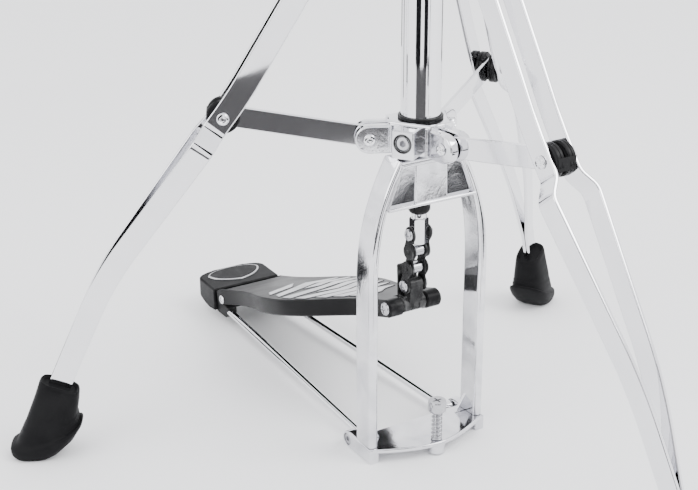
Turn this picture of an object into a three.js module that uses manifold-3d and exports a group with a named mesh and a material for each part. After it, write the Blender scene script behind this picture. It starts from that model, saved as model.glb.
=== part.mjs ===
// Double-braced hi-hat stand: pedal, chain drive, yoke frame, folding tripod, tubes, pull rod and clutch.
// Millimetres. +Z is up, the origin is on the tube's axis at floor level, and the player sits on the -Y side.

import * as THREE from "three";
import { mergeVertices } from "three/addons/utils/BufferGeometryUtils.js";
import Module from "manifold-3d";

const wasm = await Module();
wasm.setup();

// ---------------------------------------------------------------- driving dimensions

const GAP = 0.3; // clearance between pieces that touch

const TUBE_R = 12.7; // one-inch lower tube
const TUBE_WALL = 1.5;
const TUBE_BOTTOM_Z = 178;
const TUBE_TOP_Z = 470;
const UPPER_TUBE_R = 9.5;
const UPPER_TUBE_Z = [410, 690];
const ROD_R = 3; // pull rod
const ROD_TOP_Z = 880;

const LEG_TURN = 2.3; // degrees the tripod stands turned from the pedal line
const LEG_AZIMUTHS = [-30, 90, 210].map((a) => a + LEG_TURN);
const LEG_PIVOT = [36.9, 371.2]; // every [r, z] pair lies in the leg's own upright plane
const LEG_RIVET = [123, 232.6];
const STRUT_PIVOT = [32.7, 216.4];
const LEG_ELBOW = [113.7, 245.1];
const LEG_KNEE = [202.5, 127.2];
const LEG_END = [244.7, 35.7]; // inside the foot
const STRAP_W = 14.7;
const STRAP_T = 2.6;
const STRAP_HALF_GAP = 8.7; // strap's middle, out from the leg's plane, above the joggle
const STRAP_BELLY = 16.6; // the same, just below the joggle
const STRAP_CLOSED = STRAP_T / 2 + GAP / 2; // the same, where the two straps meet above the foot
const STRUT_W = 13.8;
const STRUT_T = 2.6;
const STRUT_EYE_R = 7.6; // the strut's outer eye, hidden between the spacer's discs
const SPACER_R = 10.4;
const RIVET_R = 2.5;
const RIVET_HEAD_R = 3.9;
const FOLD_PLAY = 1.9; // how far the strut's eye wanders round the leg rivet as the tripod folds

const COLLAR_Z = [207.3, 228.2];
const UPPER_COLLAR_Z = [357, 384];
const EAR_R = 9.1; // rounded end of a clevis

const YOKE_TOP_Z = 206.6;
const YOKE_OUT = 46.2; // outer half width of the yoke's uprights
const YOKE_IN = 39.6;
const YOKE_Y = [-4.4, 14.2];
const HOOD_BOTTOM_Z = 175;
const HOOD_HALF_W = [33.7, 23.5]; // at the hood's lower and upper edge
const PLATE_Z = [7.4, 10.7];
const SPUR_Y = 24.5;
const SPUR_R = 2.5;

const HEEL_PIN = [-235.3, 22.2]; // [y, z] of the footboard's hinge
const BOARD_SLOPE = 18; // degrees
const BOARD_TOP = 8; // board's top face above the line through its two pins
const BOARD_DEPTH = 12.2;
const TOE_PIN = [-7.1, 98.6]; // [y, z]
const CHAIN_TOP_Z = 150.3;
const CHAIN_PITCH = 12.7;

const ROD_FOOT = [35.5, -13.3, 6.2]; // radius rod's pivot on the base
const ROD_HEEL = [24.3, -236, 12.1]; // radius rod's end inside the heel bracket
const RADIUS_ROD_R = 2.9;
const HINGE_SCREW_R = 2.3;
const HINGE_HEAD_R = 3.9;

// ---------------------------------------------------------------- materials

const finish = (color, roughness, metalness) => () =>
  new THREE.MeshStandardMaterial({ color, roughness, metalness });
const chrome = finish(0xd9dce0, 0.08, 1);
const castChrome = finish(0xcfd2d6, 0.16, 1);
const steel = finish(0xa9acb0, 0.3, 1);
const blackPlastic = finish(0x141416, 0.45, 0);
const blackMetal = finish(0x1b1b1e, 0.35, 0.4);
const rubber = finish(0x121212, 0.85, 0);
const felt = finish(0x2a2a2c, 0.95, 0);

// ---------------------------------------------------------------- solids: joining and cutting

function toSolid(geometry) {
  const bare = geometry.clone();
  bare.deleteAttribute("normal");
  bare.deleteAttribute("uv");
  const merged = mergeVertices(bare, 1e-4);
  const triVerts = new Uint32Array(merged.index.array);
  return new wasm.Manifold(
    new wasm.Mesh({
      numProp: 3,
      vertProperties: merged.attributes.position.array,
      triVerts,
    }),
  );
}

function toGeometry(solid) {
  const mesh = solid.getMesh();
  const indexed = new THREE.BufferGeometry();
  indexed.setAttribute("position", new THREE.BufferAttribute(mesh.vertProperties, 3));
  indexed.setIndex(new THREE.BufferAttribute(mesh.triVerts, 1));
  const flat = indexed.toNonIndexed();
  flat.computeVertexNormals();
  return flat;
}

const join = (...geometries) =>
  toGeometry(geometries.map(toSolid).reduce((sum, next) => sum.add(next)));
const cut = (body, ...tools) =>
  toGeometry(tools.map(toSolid).reduce((left, tool) => left.subtract(tool), toSolid(body)));
const common = (a, b) => toGeometry(toSolid(a).intersect(toSolid(b)));

// ---------------------------------------------------------------- simple shapes

const AXES_YZX = new THREE.Matrix4().makeBasis(
  new THREE.Vector3(0, 1, 0),
  new THREE.Vector3(0, 0, 1),
  new THREE.Vector3(1, 0, 0),
);

const box = (x0, x1, y0, y1, z0, z1) =>
  new THREE.BoxGeometry(x1 - x0, y1 - y0, z1 - z0).translate((x0 + x1) / 2, (y0 + y1) / 2, (z0 + z1) / 2);

const rodZ = (r, z0, z1, x = 0, y = 0, sides = 24) =>
  new THREE.CylinderGeometry(r, r, z1 - z0, sides).rotateX(Math.PI / 2).translate(x, y, (z0 + z1) / 2);

const rodX = (r, x0, x1, y, z, sides = 16) =>
  new THREE.CylinderGeometry(r, r, x1 - x0, sides).rotateZ(Math.PI / 2).translate((x0 + x1) / 2, y, z);

const rodY = (r, y0, y1, x, z, sides = 16) =>
  new THREE.CylinderGeometry(r, r, y1 - y0, sides).translate(x, (y0 + y1) / 2, z);

// A cylinder between any two points.
function rodBetween(from, to, r, sides = 12) {
  const a = new THREE.Vector3(...from);
  const b = new THREE.Vector3(...to);
  const along = b.clone().sub(a);
  const turn = new THREE.Quaternion().setFromUnitVectors(
    new THREE.Vector3(0, 1, 0),
    along.clone().normalize(),
  );
  const middle = a.add(b).multiplyScalar(0.5);
  return new THREE.CylinderGeometry(r, r, along.length(), sides)
    .applyQuaternion(turn)
    .translate(middle.x, middle.y, middle.z);
}

// A profile of [r, z] points, listed upwards on the outside, turned about the Z axis.
function turned(profile, sides = 24) {
  const points = profile.map(([r, z]) => new THREE.Vector2(r, z));
  return new THREE.LatheGeometry(points, sides).rotateX(Math.PI / 2);
}

const ring = (inner, outer, z0, z1, sides = 24) =>
  turned([[inner, z0], [outer, z0], [outer, z1], [inner, z1], [inner, z0]], sides);

function extrude(shape, depth, bevel = 0, curveSegments = 10) {
  const geometry = new THREE.ExtrudeGeometry(shape, {
    depth: depth - 2 * bevel,
    bevelEnabled: bevel > 0,
    bevelThickness: bevel,
    bevelSize: bevel,
    bevelOffset: -bevel,
    bevelSegments: 1,
    curveSegments,
  });
  return geometry.translate(0, 0, -depth / 2 + bevel);
}

const outline = (points) => new THREE.Shape(points.map(([x, y]) => new THREE.Vector2(x, y)));

// Extrudes centred on the plane x = 0 (from y, z points) or y = 0 (from x, z points).
const slabYZ = (shape, depth, bevel, curveSegments) =>
  extrude(shape, depth, bevel, curveSegments).applyMatrix4(AXES_YZX);
const slabXZ = (shape, depth, bevel, curveSegments) =>
  extrude(shape, depth, bevel, curveSegments).rotateX(Math.PI / 2);

// A bar outline with round ends, between two points.
function stadium(from, to, r) {
  const shape = new THREE.Shape();
  const angle = Math.atan2(to[1] - from[1], to[0] - from[0]);
  shape.absarc(from[0], from[1], r, angle + Math.PI / 2, angle + Math.PI * 1.5);
  shape.absarc(to[0], to[1], r, angle - Math.PI / 2, angle + Math.PI / 2);
  return shape;
}

// A wire coiled round the Z axis, with its ends cut square.
class Helix extends THREE.Curve {
  constructor(radius, z0, z1, turns) {
    super();
    Object.assign(this, { radius, z0, z1, turns });
  }

  getPoint(t, target = new THREE.Vector3()) {
    const angle = 2 * Math.PI * this.turns * t;
    const z = this.z0 + (this.z1 - this.z0) * t;
    return target.set(this.radius * Math.cos(angle), this.radius * Math.sin(angle), z);
  }
}

function coil(radius, wireR, z0, z1, turns, stepsPerTurn, sides) {
  const section = new THREE.Shape();
  section.absarc(0, 0, wireR, 0, 2 * Math.PI);
  return new THREE.ExtrudeGeometry(section, {
    steps: Math.round(turns * stepsPerTurn),
    extrudePath: new Helix(radius, z0 + wireR, z1 - wireR, turns),
    curveSegments: sides,
    bevelEnabled: false,
  });
}

// A bolt along +X from its seat at x = 0: shank inwards, round boss and two wings outwards.
function wingBolt(shankR, shankLength, span) {
  const wings = new THREE.Shape();
  wings.moveTo(3, -3.4);
  wings.lineTo(3, 3.4);
  wings.bezierCurveTo(6, 5, 6, span * 0.42, 10, span / 2);
  wings.bezierCurveTo(13, span / 2 + 1, 17, span * 0.34, 15, span * 0.26);
  wings.bezierCurveTo(13, span * 0.18, 12, 5, 12, 0);
  wings.bezierCurveTo(12, -5, 13, -span * 0.18, 15, -span * 0.26);
  wings.bezierCurveTo(17, -span * 0.34, 13, -span / 2 - 1, 10, -span / 2);
  wings.bezierCurveTo(6, -span * 0.42, 6, -5, 3, -3.4);
  return join(
    rodX(shankR, -shankLength, 1, 0, 0, 12),
    rodX(6, 0, 11, 0, 0, 20),
    extrude(wings, 3.6, 0.8, 3),
  );
}

// ---------------------------------------------------------------- the group

const stand = new THREE.Group();

function piece(name, geometry, material, parent = stand) {
  const mesh = new THREE.Mesh(geometry, material());
  mesh.name = name;
  parent.add(mesh);
  return mesh;
}

// ---------------------------------------------------------------- base plate and yoke

function basePlate() {
  const plan = new THREE.Shape();
  plan.moveTo(-YOKE_OUT, YOKE_Y[1]);
  plan.quadraticCurveTo(-24, 26.5, 0, 30.2);
  plan.quadraticCurveTo(24, 26.5, YOKE_OUT, YOKE_Y[1]);
  plan.lineTo(YOKE_OUT, -6.2);
  plan.lineTo(-YOKE_OUT, -6.2);
  const thickness = PLATE_Z[1] - PLATE_Z[0];
  const middleZ = (PLATE_Z[0] + PLATE_Z[1]) / 2;
  const plate = extrude(plan, thickness, 0.5, 8).translate(0, 0, middleZ);
  const lug = new THREE.Shape();
  lug.moveTo(15.4, 0);
  lug.lineTo(15.4, 10);
  lug.lineTo(-9, 12.4);
  lug.quadraticCurveTo(-19.8, 12.2, -19.4, 5);
  lug.quadraticCurveTo(-18.6, 1.4, -11, 0);
  const parts = [plate, rodZ(5.6, 0.8, 9, 0, SPUR_Y, 20)];
  for (const side of [-1, 1]) parts.push(slabYZ(lug, 7.4, 0.8, 6).translate(side * 43.3, 0, 0));
  const [, pivotY, pivotZ] = ROD_FOOT;
  const seats = box(-60, 60, YOKE_Y[0] - GAP, 30, PLATE_Z[1], 20); // the uprights stand here
  return cut(
    join(...parts),
    seats,
    rodX(HINGE_SCREW_R + GAP, -50, 50, pivotY, pivotZ, 16),
    rodX(HINGE_HEAD_R + GAP, 44.5, 50, pivotY, pivotZ, 16),
    rodX(HINGE_HEAD_R + GAP, -50, -44.5, pivotY, pivotZ, 16),
    rodZ(SPUR_R + GAP, -1, 20, 0, SPUR_Y, 16),
  );
}

function yoke() {
  const arch = new THREE.Shape();
  const out = YOKE_OUT;
  arch.moveTo(-out, PLATE_Z[1] + GAP);
  arch.lineTo(-out, 125);
  arch.bezierCurveTo(-out, 160, -38, 182, -24.5, YOKE_TOP_Z);
  arch.lineTo(24.5, YOKE_TOP_Z);
  arch.bezierCurveTo(38, 182, out, 160, out, 125);
  arch.lineTo(out, PLATE_Z[1] + GAP);
  arch.lineTo(YOKE_IN, PLATE_Z[1] + GAP);
  arch.lineTo(YOKE_IN, 138);
  arch.bezierCurveTo(YOKE_IN, 165, 33, 182, 20.5, 201);
  arch.lineTo(-20.5, 201);
  arch.bezierCurveTo(-33, 182, -YOKE_IN, 165, -YOKE_IN, 138);
  arch.lineTo(-YOKE_IN, PLATE_Z[1] + GAP);
  const depth = YOKE_Y[1] - YOKE_Y[0];
  const band = slabXZ(arch, depth, 1, 8).translate(0, (YOKE_Y[0] + YOKE_Y[1]) / 2, 0);
  const [low, high] = HOOD_HALF_W;
  const hood = outline([
    [-low - 1, HOOD_BOTTOM_Z + 1],
    [low + 1, HOOD_BOTTOM_Z + 1],
    [high, 203],
    [-high, 203],
  ]);
  const face = slabXZ(hood, 3.4).translate(0, 10.8, 0);
  const rim = box(-low - 0.6, low + 0.6, 8.5, 15.9, HOOD_BOTTOM_Z, HOOD_BOTTOM_Z + 2.2);
  const panel = box(-12.4, 12.4, 2, 14.7, HOOD_BOTTOM_Z + 1, 203.5);
  const socket = rodZ(15.7, HOOD_BOTTOM_Z, YOKE_TOP_Z, 0, 0, 28);
  const gussets = [-1, 1].map((side) => {
    const corner = [
      [side * 40, 24],
      [side * 31.5, PLATE_Z[1] + GAP],
      [side * 40, PLATE_Z[1] + GAP],
    ];
    return slabXZ(outline(corner), 2).translate(0, 2, 0);
  });
  return cut(
    join(band, face, rim, panel, socket, ...gussets),
    rodZ(TUBE_R + GAP, TUBE_BOTTOM_Z - GAP, YOKE_TOP_Z + 1, 0, 0, 28),
    rodZ(7.2, HOOD_BOTTOM_Z - 1, TUBE_BOTTOM_Z + 1, 0, 0, 24),
  );
}

piece("base_plate", basePlate(), castChrome);
piece("yoke_frame", yoke(), castChrome);

// ---------------------------------------------------------------- tubes, pull rod and their inner pieces

const BUSHING_BORE = ROD_R + 0.4;
const SPRING_SEAT_Z = 184;
const SPRING_STOP_Z = 262;

piece("lower_tube", ring(TUBE_R - TUBE_WALL, TUBE_R, TUBE_BOTTOM_Z, TUBE_TOP_Z, 28), chrome);
piece(
  "tube_bushing",
  turned([
    [BUSHING_BORE, 164.9],
    [6, 164.9],
    [7.3, 166.6],
    [7.3, HOOD_BOTTOM_Z - GAP],
    [6.9, HOOD_BOTTOM_Z - GAP],
    [6.9, TUBE_BOTTOM_Z + GAP],
    [10.8, TUBE_BOTTOM_Z + GAP],
    [10.8, SPRING_SEAT_Z],
    [BUSHING_BORE, SPRING_SEAT_Z],
    [BUSHING_BORE, 164.9],
  ], 24),
  blackPlastic,
);
piece("return_spring", coil(7.4, 0.9, SPRING_SEAT_Z + GAP, SPRING_STOP_Z - GAP, 9, 8, 2), steel);
piece(
  "pull_rod",
  turned([
    [0, 153.6],
    [ROD_R, 153.6],
    [ROD_R, SPRING_STOP_Z],
    [8.6, SPRING_STOP_Z],
    [8.6, SPRING_STOP_Z + 5],
    [ROD_R, SPRING_STOP_Z + 5],
    [ROD_R, ROD_TOP_Z - 1],
    [ROD_R - 1, ROD_TOP_Z],
    [0, ROD_TOP_Z],
  ], 16),
  chrome,
);

function rodNut() {
  const hex = new THREE.CylinderGeometry(6.35, 6.35, 17.6, 6).rotateX(Math.PI / 2).translate(0, 0, 152.7);
  const shoulder = turned([[0, 160], [5.2, 160], [5.2, 164], [4.6, 164.6], [0, 164.6]], 24);
  return cut(
    join(hex, shoulder),
    rodZ(ROD_R + GAP, 153.3, 170, 0, 0, 16),
    rodX(2 + GAP, -10, 10, 0, CHAIN_TOP_Z, 12),
  );
}

piece("rod_nut", rodNut(), chrome);

// ---------------------------------------------------------------- radius rods and heel plate

for (const [name, side] of [["left", 1], ["right", -1]]) {
  const [footX, footY, footZ] = ROD_FOOT;
  const [heelX, heelY, heelZ] = ROD_HEEL;
  const foot = [side * footX, footY, footZ];
  const heel = [side * heelX, heelY, heelZ];
  const eye = rodX(5, side * footX - 2.9, side * footX + 2.9, footY, footZ, 20);
  const hole = rodX(HINGE_SCREW_R + GAP, side * footX - 5, side * footX + 5, footY, footZ, 16);
  piece(`radius_rod_${name}`, cut(join(rodBetween(foot, heel, RADIUS_ROD_R), eye), hole), chrome);
  const shank = rodX(HINGE_SCREW_R, 32, 45, footY, footZ, 16);
  const head = rodX(HINGE_HEAD_R, 44.8, 46.6, footY, footZ, 16);
  const socket = rodX(2, 45.4, 48, footY, footZ, 6);
  const screw = cut(join(shank, head), socket);
  if (side < 0) screw.rotateZ(Math.PI).translate(0, 2 * footY, 0);
  piece(`rod_screw_${name}`, screw, steel);
}

const HEEL_HALF_W = 30.2;
const HEEL_FRONT_Y = -247.7;
const HEEL_NOSE_Y = -283.8;
const HEEL_TOP_Z = 26.6;

function heelPlate() {
  const side = new THREE.Shape();
  side.moveTo(HEEL_FRONT_Y, 8);
  side.lineTo(HEEL_FRONT_Y, HEEL_TOP_Z);
  side.lineTo(HEEL_NOSE_Y + 2, HEEL_TOP_Z + 1.4);
  side.quadraticCurveTo(HEEL_NOSE_Y, HEEL_TOP_Z + 1, HEEL_NOSE_Y, 23);
  side.bezierCurveTo(HEEL_NOSE_Y + 1, 14, -270, 8, -258, 7);
  side.lineTo(HEEL_FRONT_Y, 8);
  const plan = new THREE.Shape();
  plan.moveTo(-HEEL_HALF_W, HEEL_FRONT_Y + 2);
  plan.lineTo(-HEEL_HALF_W, HEEL_NOSE_Y + 11);
  plan.bezierCurveTo(-HEEL_HALF_W, HEEL_NOSE_Y + 2, -14, HEEL_NOSE_Y, 0, HEEL_NOSE_Y);
  plan.bezierCurveTo(14, HEEL_NOSE_Y, HEEL_HALF_W, HEEL_NOSE_Y + 2, HEEL_HALF_W, HEEL_NOSE_Y + 11);
  plan.lineTo(HEEL_HALF_W, HEEL_FRONT_Y + 2);
  const block = common(slabYZ(side, 80, 0, 8), extrude(plan, 80, 0, 8));
  const [pinY, pinZ] = HEEL_PIN;
  const tongue = box(-25.2, 25.2, HEEL_FRONT_Y - 1, pinY, 18.4, 24.6);
  const barrel = rodX(5.6, -25.2, 25.2, pinY, pinZ, 20);
  const bracket = box(-27.6, 27.6, -246, -229, 6.6, 16);
  const web = box(-27.6, 27.6, HEEL_FRONT_Y - 4, -244, 8, 19);
  const sockets = [-1, 1].map((s) => {
    const [x, y, z] = ROD_HEEL;
    const [footX, footY, footZ] = ROD_FOOT;
    return rodBetween([s * footX, footY, footZ], [s * x * 0.999, y - 1, z], RADIUS_ROD_R + GAP, 12);
  });
  return cut(
    join(block, tongue, barrel, bracket, web),
    rodX(2.5 + GAP, -40, 40, pinY, pinZ, 16),
    box(-19, 19, -243, -225, 6, 14),
    ...sockets,
  );
}

piece("heel_plate", heelPlate(), blackMetal);
piece(
  "heel_pin",
  join(
    rodX(2.5, -29, 29, ...HEEL_PIN, 16),
    rodX(3.6, 28.6, 30, ...HEEL_PIN, 16),
    rodX(3.6, -30, -28.6, ...HEEL_PIN, 16),
  ),
  chrome,
);

// ---------------------------------------------------------------- footboard, toe pin and bracket

const board = new THREE.Group();
board.position.set(0, HEEL_PIN[0], HEEL_PIN[1]);
board.rotation.x = THREE.MathUtils.degToRad(BOARD_SLOPE);
stand.add(board);

// The board's own frame: x across, y along from the heel pin, z out of its face.
const toePinLocal = new THREE.Vector2(TOE_PIN[0] - HEEL_PIN[0], TOE_PIN[1] - HEEL_PIN[1]).rotateAround(
  new THREE.Vector2(),
  -THREE.MathUtils.degToRad(BOARD_SLOPE),
);
const TOE_HALF_W = 20.5;
const TOE_END = toePinLocal.x + 6.2;
const BRACKET_HALF_W = 8.8;

function boardPlan(inset) {
  const w = TOE_HALF_W - inset;
  const end = TOE_END - inset;
  const plan = new THREE.Shape();
  plan.moveTo(w, end);
  plan.lineTo(w, 218);
  plan.bezierCurveTo(w + 1, 190, 40 - inset, 160, 40.9 - inset, 124);
  plan.bezierCurveTo(41.4 - inset, 92, 36 - inset, 80, 31.5 - inset, 58);
  plan.bezierCurveTo(28.5 - inset, 42, 26.6 - inset, 26, 30.2 - inset, -5.4 + inset * 2);
  plan.lineTo(-30.2 + inset, -5.4 + inset * 2);
  plan.bezierCurveTo(-26.6 + inset, 26, -28.5 + inset, 42, -31.5 + inset, 58);
  plan.bezierCurveTo(-36 + inset, 80, -41.4 + inset, 92, -40.9 + inset, 124);
  plan.bezierCurveTo(-40 + inset, 160, -w - 1, 190, -w, 218);
  plan.lineTo(-w, end);
  return plan;
}

function footboard() {
  const low = BOARD_TOP - BOARD_DEPTH;
  const slab = extrude(boardPlan(0), BOARD_DEPTH, 0.8, 6).translate(0, 0, BOARD_TOP - BOARD_DEPTH / 2);
  const pocket = extrude(boardPlan(3), 20, 0, 5).translate(0, 0, BOARD_TOP - 3.2 - 10);
  const pocketKept = cut(pocket, box(-60, 60, 224, 260, -30, 30));
  const rib = box(-1.5, 1.5, 20, 225, low + 2, BOARD_TOP - 2);
  const heelClear = box(-25.6, 25.6, -20, 16, -20, BOARD_TOP - 1.8);
  const heelGap = box(-25.6, 25.6, -20, 3.4, -20, 20);
  const toeSlot = box(-BRACKET_HALF_W - GAP, BRACKET_HALF_W + GAP, TOE_END - 13.4, 300, -30, 30);
  return cut(
    join(cut(slab, pocketKept), rib),
    heelClear,
    heelGap,
    toeSlot,
    rodX(3.6 + GAP, -40, 40, 0, 0, 16),
    rodX(2.5 + GAP, -40, 40, toePinLocal.x, toePinLocal.y, 16),
  );
}

piece("footboard", footboard(), blackMetal, board);
piece(
  "toe_pin",
  join(
    rodX(2.5, -TOE_HALF_W + 1, TOE_HALF_W + 1, toePinLocal.x, toePinLocal.y, 16),
    rodX(4.4, TOE_HALF_W + GAP, TOE_HALF_W + 2.2, toePinLocal.x, toePinLocal.y, 20),
  ),
  chrome,
  board,
);

// The chain hangs in a straight line from the rod nut's screw to the toe pin.
const chainLine = new THREE.Vector2(TOE_PIN[0], TOE_PIN[1] - CHAIN_TOP_Z).normalize();
const chainPin = (i) => [chainLine.x * CHAIN_PITCH * i, CHAIN_TOP_Z + chainLine.y * CHAIN_PITCH * i];
const PIN_R = 1.6;
const CHAIN_SCREW_R = 2;
const TONGUE_HALF_W = 5.2;

function toeBracket() {
  const [endY, endZ] = chainPin(3);
  const barrel = rodX(5.4, -BRACKET_HALF_W, BRACKET_HALF_W, ...TOE_PIN, 20);
  const tongue = slabYZ(stadium(TOE_PIN, [endY, endZ], 4.9), 2 * TONGUE_HALF_W, 0.4, 3);
  const guardTop = [endY - 9.1, endZ + 13];
  const guard = outline([
    [TOE_PIN[0] - 6, TOE_PIN[1] - 1],
    [TOE_PIN[0] - 4.2, TOE_PIN[1] + 1],
    [guardTop[0] + 1.9, guardTop[1]],
    [guardTop[0], guardTop[1]],
  ]);
  const shelf = box(-7.6, 7.6, TOE_PIN[0] - 4, TOE_PIN[0] + 2, TOE_PIN[1] + 3, TOE_PIN[1] + 6.4);
  return cut(
    join(barrel, tongue, slabYZ(guard, 2 * 7.6), shelf),
    rodX(2.5 + GAP, -40, 40, ...TOE_PIN, 16),
    rodX(CHAIN_SCREW_R + 1, -40, 40, endY, endZ, 16),
  );
}

piece("toe_bracket", toeBracket(), blackMetal);

// ---------------------------------------------------------------- roller chain

const OUTER_LINK_X = 6.5;
const INNER_LINK_X = 4.6;
const LINK_T = 1.4;
const LINK_R = 5.4;

// Two waisted plates side by side, from one pin of the chain to the next.
function linkPlates(from, to, x) {
  const a = new THREE.Vector2(...from);
  const b = new THREE.Vector2(...to);
  const along = b.clone().sub(a);
  const turn = along.angle();
  const half = along.length() / 2;
  const shape = new THREE.Shape();
  shape.absarc(-half, 0, LINK_R, Math.PI * 0.32, Math.PI * 1.68);
  shape.quadraticCurveTo(0, -LINK_R * 0.42, half - LINK_R * Math.cos(Math.PI * 0.32), -LINK_R * 0.844);
  shape.absarc(half, 0, LINK_R, -Math.PI * 0.68, Math.PI * 0.68);
  shape.quadraticCurveTo(0, LINK_R * 0.42, -half + LINK_R * Math.cos(Math.PI * 0.32), LINK_R * 0.844);
  const middle = a.add(b).multiplyScalar(0.5);
  const plate = () =>
    extrude(shape, LINK_T, 0.2, 3).rotateZ(turn).translate(middle.x, middle.y, 0).applyMatrix4(AXES_YZX);
  return [plate().translate(-x, 0, 0), plate().translate(x, 0, 0)];
}

const pinHole = (r, i) => rodX(r, -12, 12, ...chainPin(i), 12);
const outerPin = (i) => rodX(PIN_R, -OUTER_LINK_X - 1.1, OUTER_LINK_X + 1.1, ...chainPin(i), 12);

piece(
  "chain_upper_link",
  cut(
    join(...linkPlates(chainPin(0), chainPin(1), OUTER_LINK_X), outerPin(1)),
    pinHole(CHAIN_SCREW_R + GAP, 0),
  ),
  blackMetal,
);
piece(
  "chain_inner_link",
  cut(
    join(
      ...linkPlates(chainPin(1), chainPin(2), INNER_LINK_X),
      rodX(2.5, -INNER_LINK_X, INNER_LINK_X, ...chainPin(1), 14),
      rodX(2.5, -INNER_LINK_X, INNER_LINK_X, ...chainPin(2), 14),
    ),
    pinHole(PIN_R + GAP, 1),
    pinHole(PIN_R + GAP, 2),
  ),
  blackMetal,
);
piece(
  "chain_lower_link",
  cut(
    join(...linkPlates(chainPin(2), chainPin(3), OUTER_LINK_X), outerPin(2)),
    pinHole(CHAIN_SCREW_R + GAP, 3),
  ),
  blackMetal,
);
for (const [i, name] of ["upper", "lower"].entries()) {
  const roller = cut(rodX(3.8, -3.5, 3.5, ...chainPin(i + 1), 20), pinHole(2.5 + GAP, i + 1));
  piece(`chain_roller_${name}`, roller, chrome);
}
for (const [name, i] of [["top", 0], ["bottom", 3]]) {
  const shank = rodX(CHAIN_SCREW_R, -8, 8, ...chainPin(i), 14);
  const head = rodX(4, OUTER_LINK_X + LINK_T / 2 + GAP, 9.4, ...chainPin(i), 18);
  const nut = rodX(3.6, -9.2, -OUTER_LINK_X - LINK_T / 2 - GAP, ...chainPin(i), 6);
  piece(`chain_screw_${name}`, join(shank, head, nut), chrome);
}

// ---------------------------------------------------------------- spur screw

const SPUR_HEAD_Z = [32, 39.4];

function spurScrew() {
  const knurls = 18;
  const knurled = new THREE.Shape();
  for (let i = 0; i < knurls * 2; i += 1) {
    const r = i % 2 ? 6.3 : 5.9;
    const angle = (Math.PI * i) / knurls;
    knurled[i ? "lineTo" : "moveTo"](r * Math.cos(angle), r * Math.sin(angle));
  }
  const [low, high] = SPUR_HEAD_Z;
  const head = extrude(knurled, high - low, 0.5).translate(0, 0, (low + high) / 2);
  const shank = turned([[0, 1], [SPUR_R, 5], [SPUR_R, low + 1], [0, low + 1]], 16);
  const slots = [box(-3.2, 3.2, -0.6, 0.6, high - 2.2, high + 1), box(-0.6, 0.6, -3.2, 3.2, high - 2.2, high + 1)];
  return cut(join(head, shank), ...slots).translate(0, SPUR_Y, 0);
}

piece("spur_screw", spurScrew(), steel);
const spurCoil = coil(3.3, 0.5, PLATE_Z[1] + GAP, SPUR_HEAD_Z[0] - GAP, 6.5, 10, 2);
piece("spur_spring", spurCoil.translate(0, SPUR_Y, 0), steel);

// ---------------------------------------------------------------- lower leg collar

const toAngle = (azimuth) => THREE.MathUtils.degToRad(azimuth);
const BOSS_AZIMUTH = LEG_AZIMUTHS[0] + 60;
const EAR_HALF_W = 8.6;
const SLOT_HALF_W = 1.8;

function lowerCollar() {
  const [low, high] = COLLAR_Z;
  const corners = [];
  for (const azimuth of LEG_AZIMUTHS) {
    for (const turn of [-21.5, 21.5]) {
      const angle = toAngle(azimuth + turn);
      corners.push([22.6 * Math.cos(angle), 22.6 * Math.sin(angle)]);
    }
  }
  const core = extrude(outline(corners), high - low, 0.8).translate(0, 0, (low + high) / 2);
  const boss = slabXZ(outline([[12, low + 0.6], [28, low + 0.6], [28, high - 2], [12, high - 1]]), 15, 0.7)
    .rotateZ(toAngle(BOSS_AZIMUTH));
  const [pivotR, pivotZ] = STRUT_PIVOT;
  const ears = [];
  const openings = [];
  for (const azimuth of LEG_AZIMUTHS) {
    const ear = slabXZ(stadium([14, pivotZ], [pivotR, pivotZ], EAR_R), 2 * EAR_HALF_W, 0.7, 5);
    const slot = box(19.6, 60, -SLOT_HALF_W, SLOT_HALF_W, low - 5, high + 5);
    ears.push(ear.rotateZ(toAngle(azimuth)));
    openings.push(slot.rotateZ(toAngle(azimuth)));
    openings.push(rodY(RIVET_R + GAP, -15, 15, pivotR, pivotZ, 14).rotateZ(toAngle(azimuth)));
  }
  const screwHole = rodX(4.6, 15.5, 40, 0, 218, 18).rotateZ(toAngle(BOSS_AZIMUTH));
  const bore = rodZ(TUBE_R + GAP, low - 5, high + 5, 0, 0, 28);
  return cut(join(core, boss, ...ears), ...openings, screwHole, bore);
}

piece("lower_collar", lowerCollar(), castChrome);
const setScrew = cut(rodX(4.3, 16, 28.2, 0, 218, 18), rodX(2.3, 23, 30, 0, 218, 6));
piece("collar_screw", setScrew.rotateZ(toAngle(BOSS_AZIMUTH)), steel);
piece(
  "swivel_bushing",
  ring(TUBE_R + GAP, 14.4, COLLAR_Z[1] + GAP, COLLAR_Z[1] + 2.1, 24),
  blackPlastic,
);

// ---------------------------------------------------------------- sliding upper collar

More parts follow.
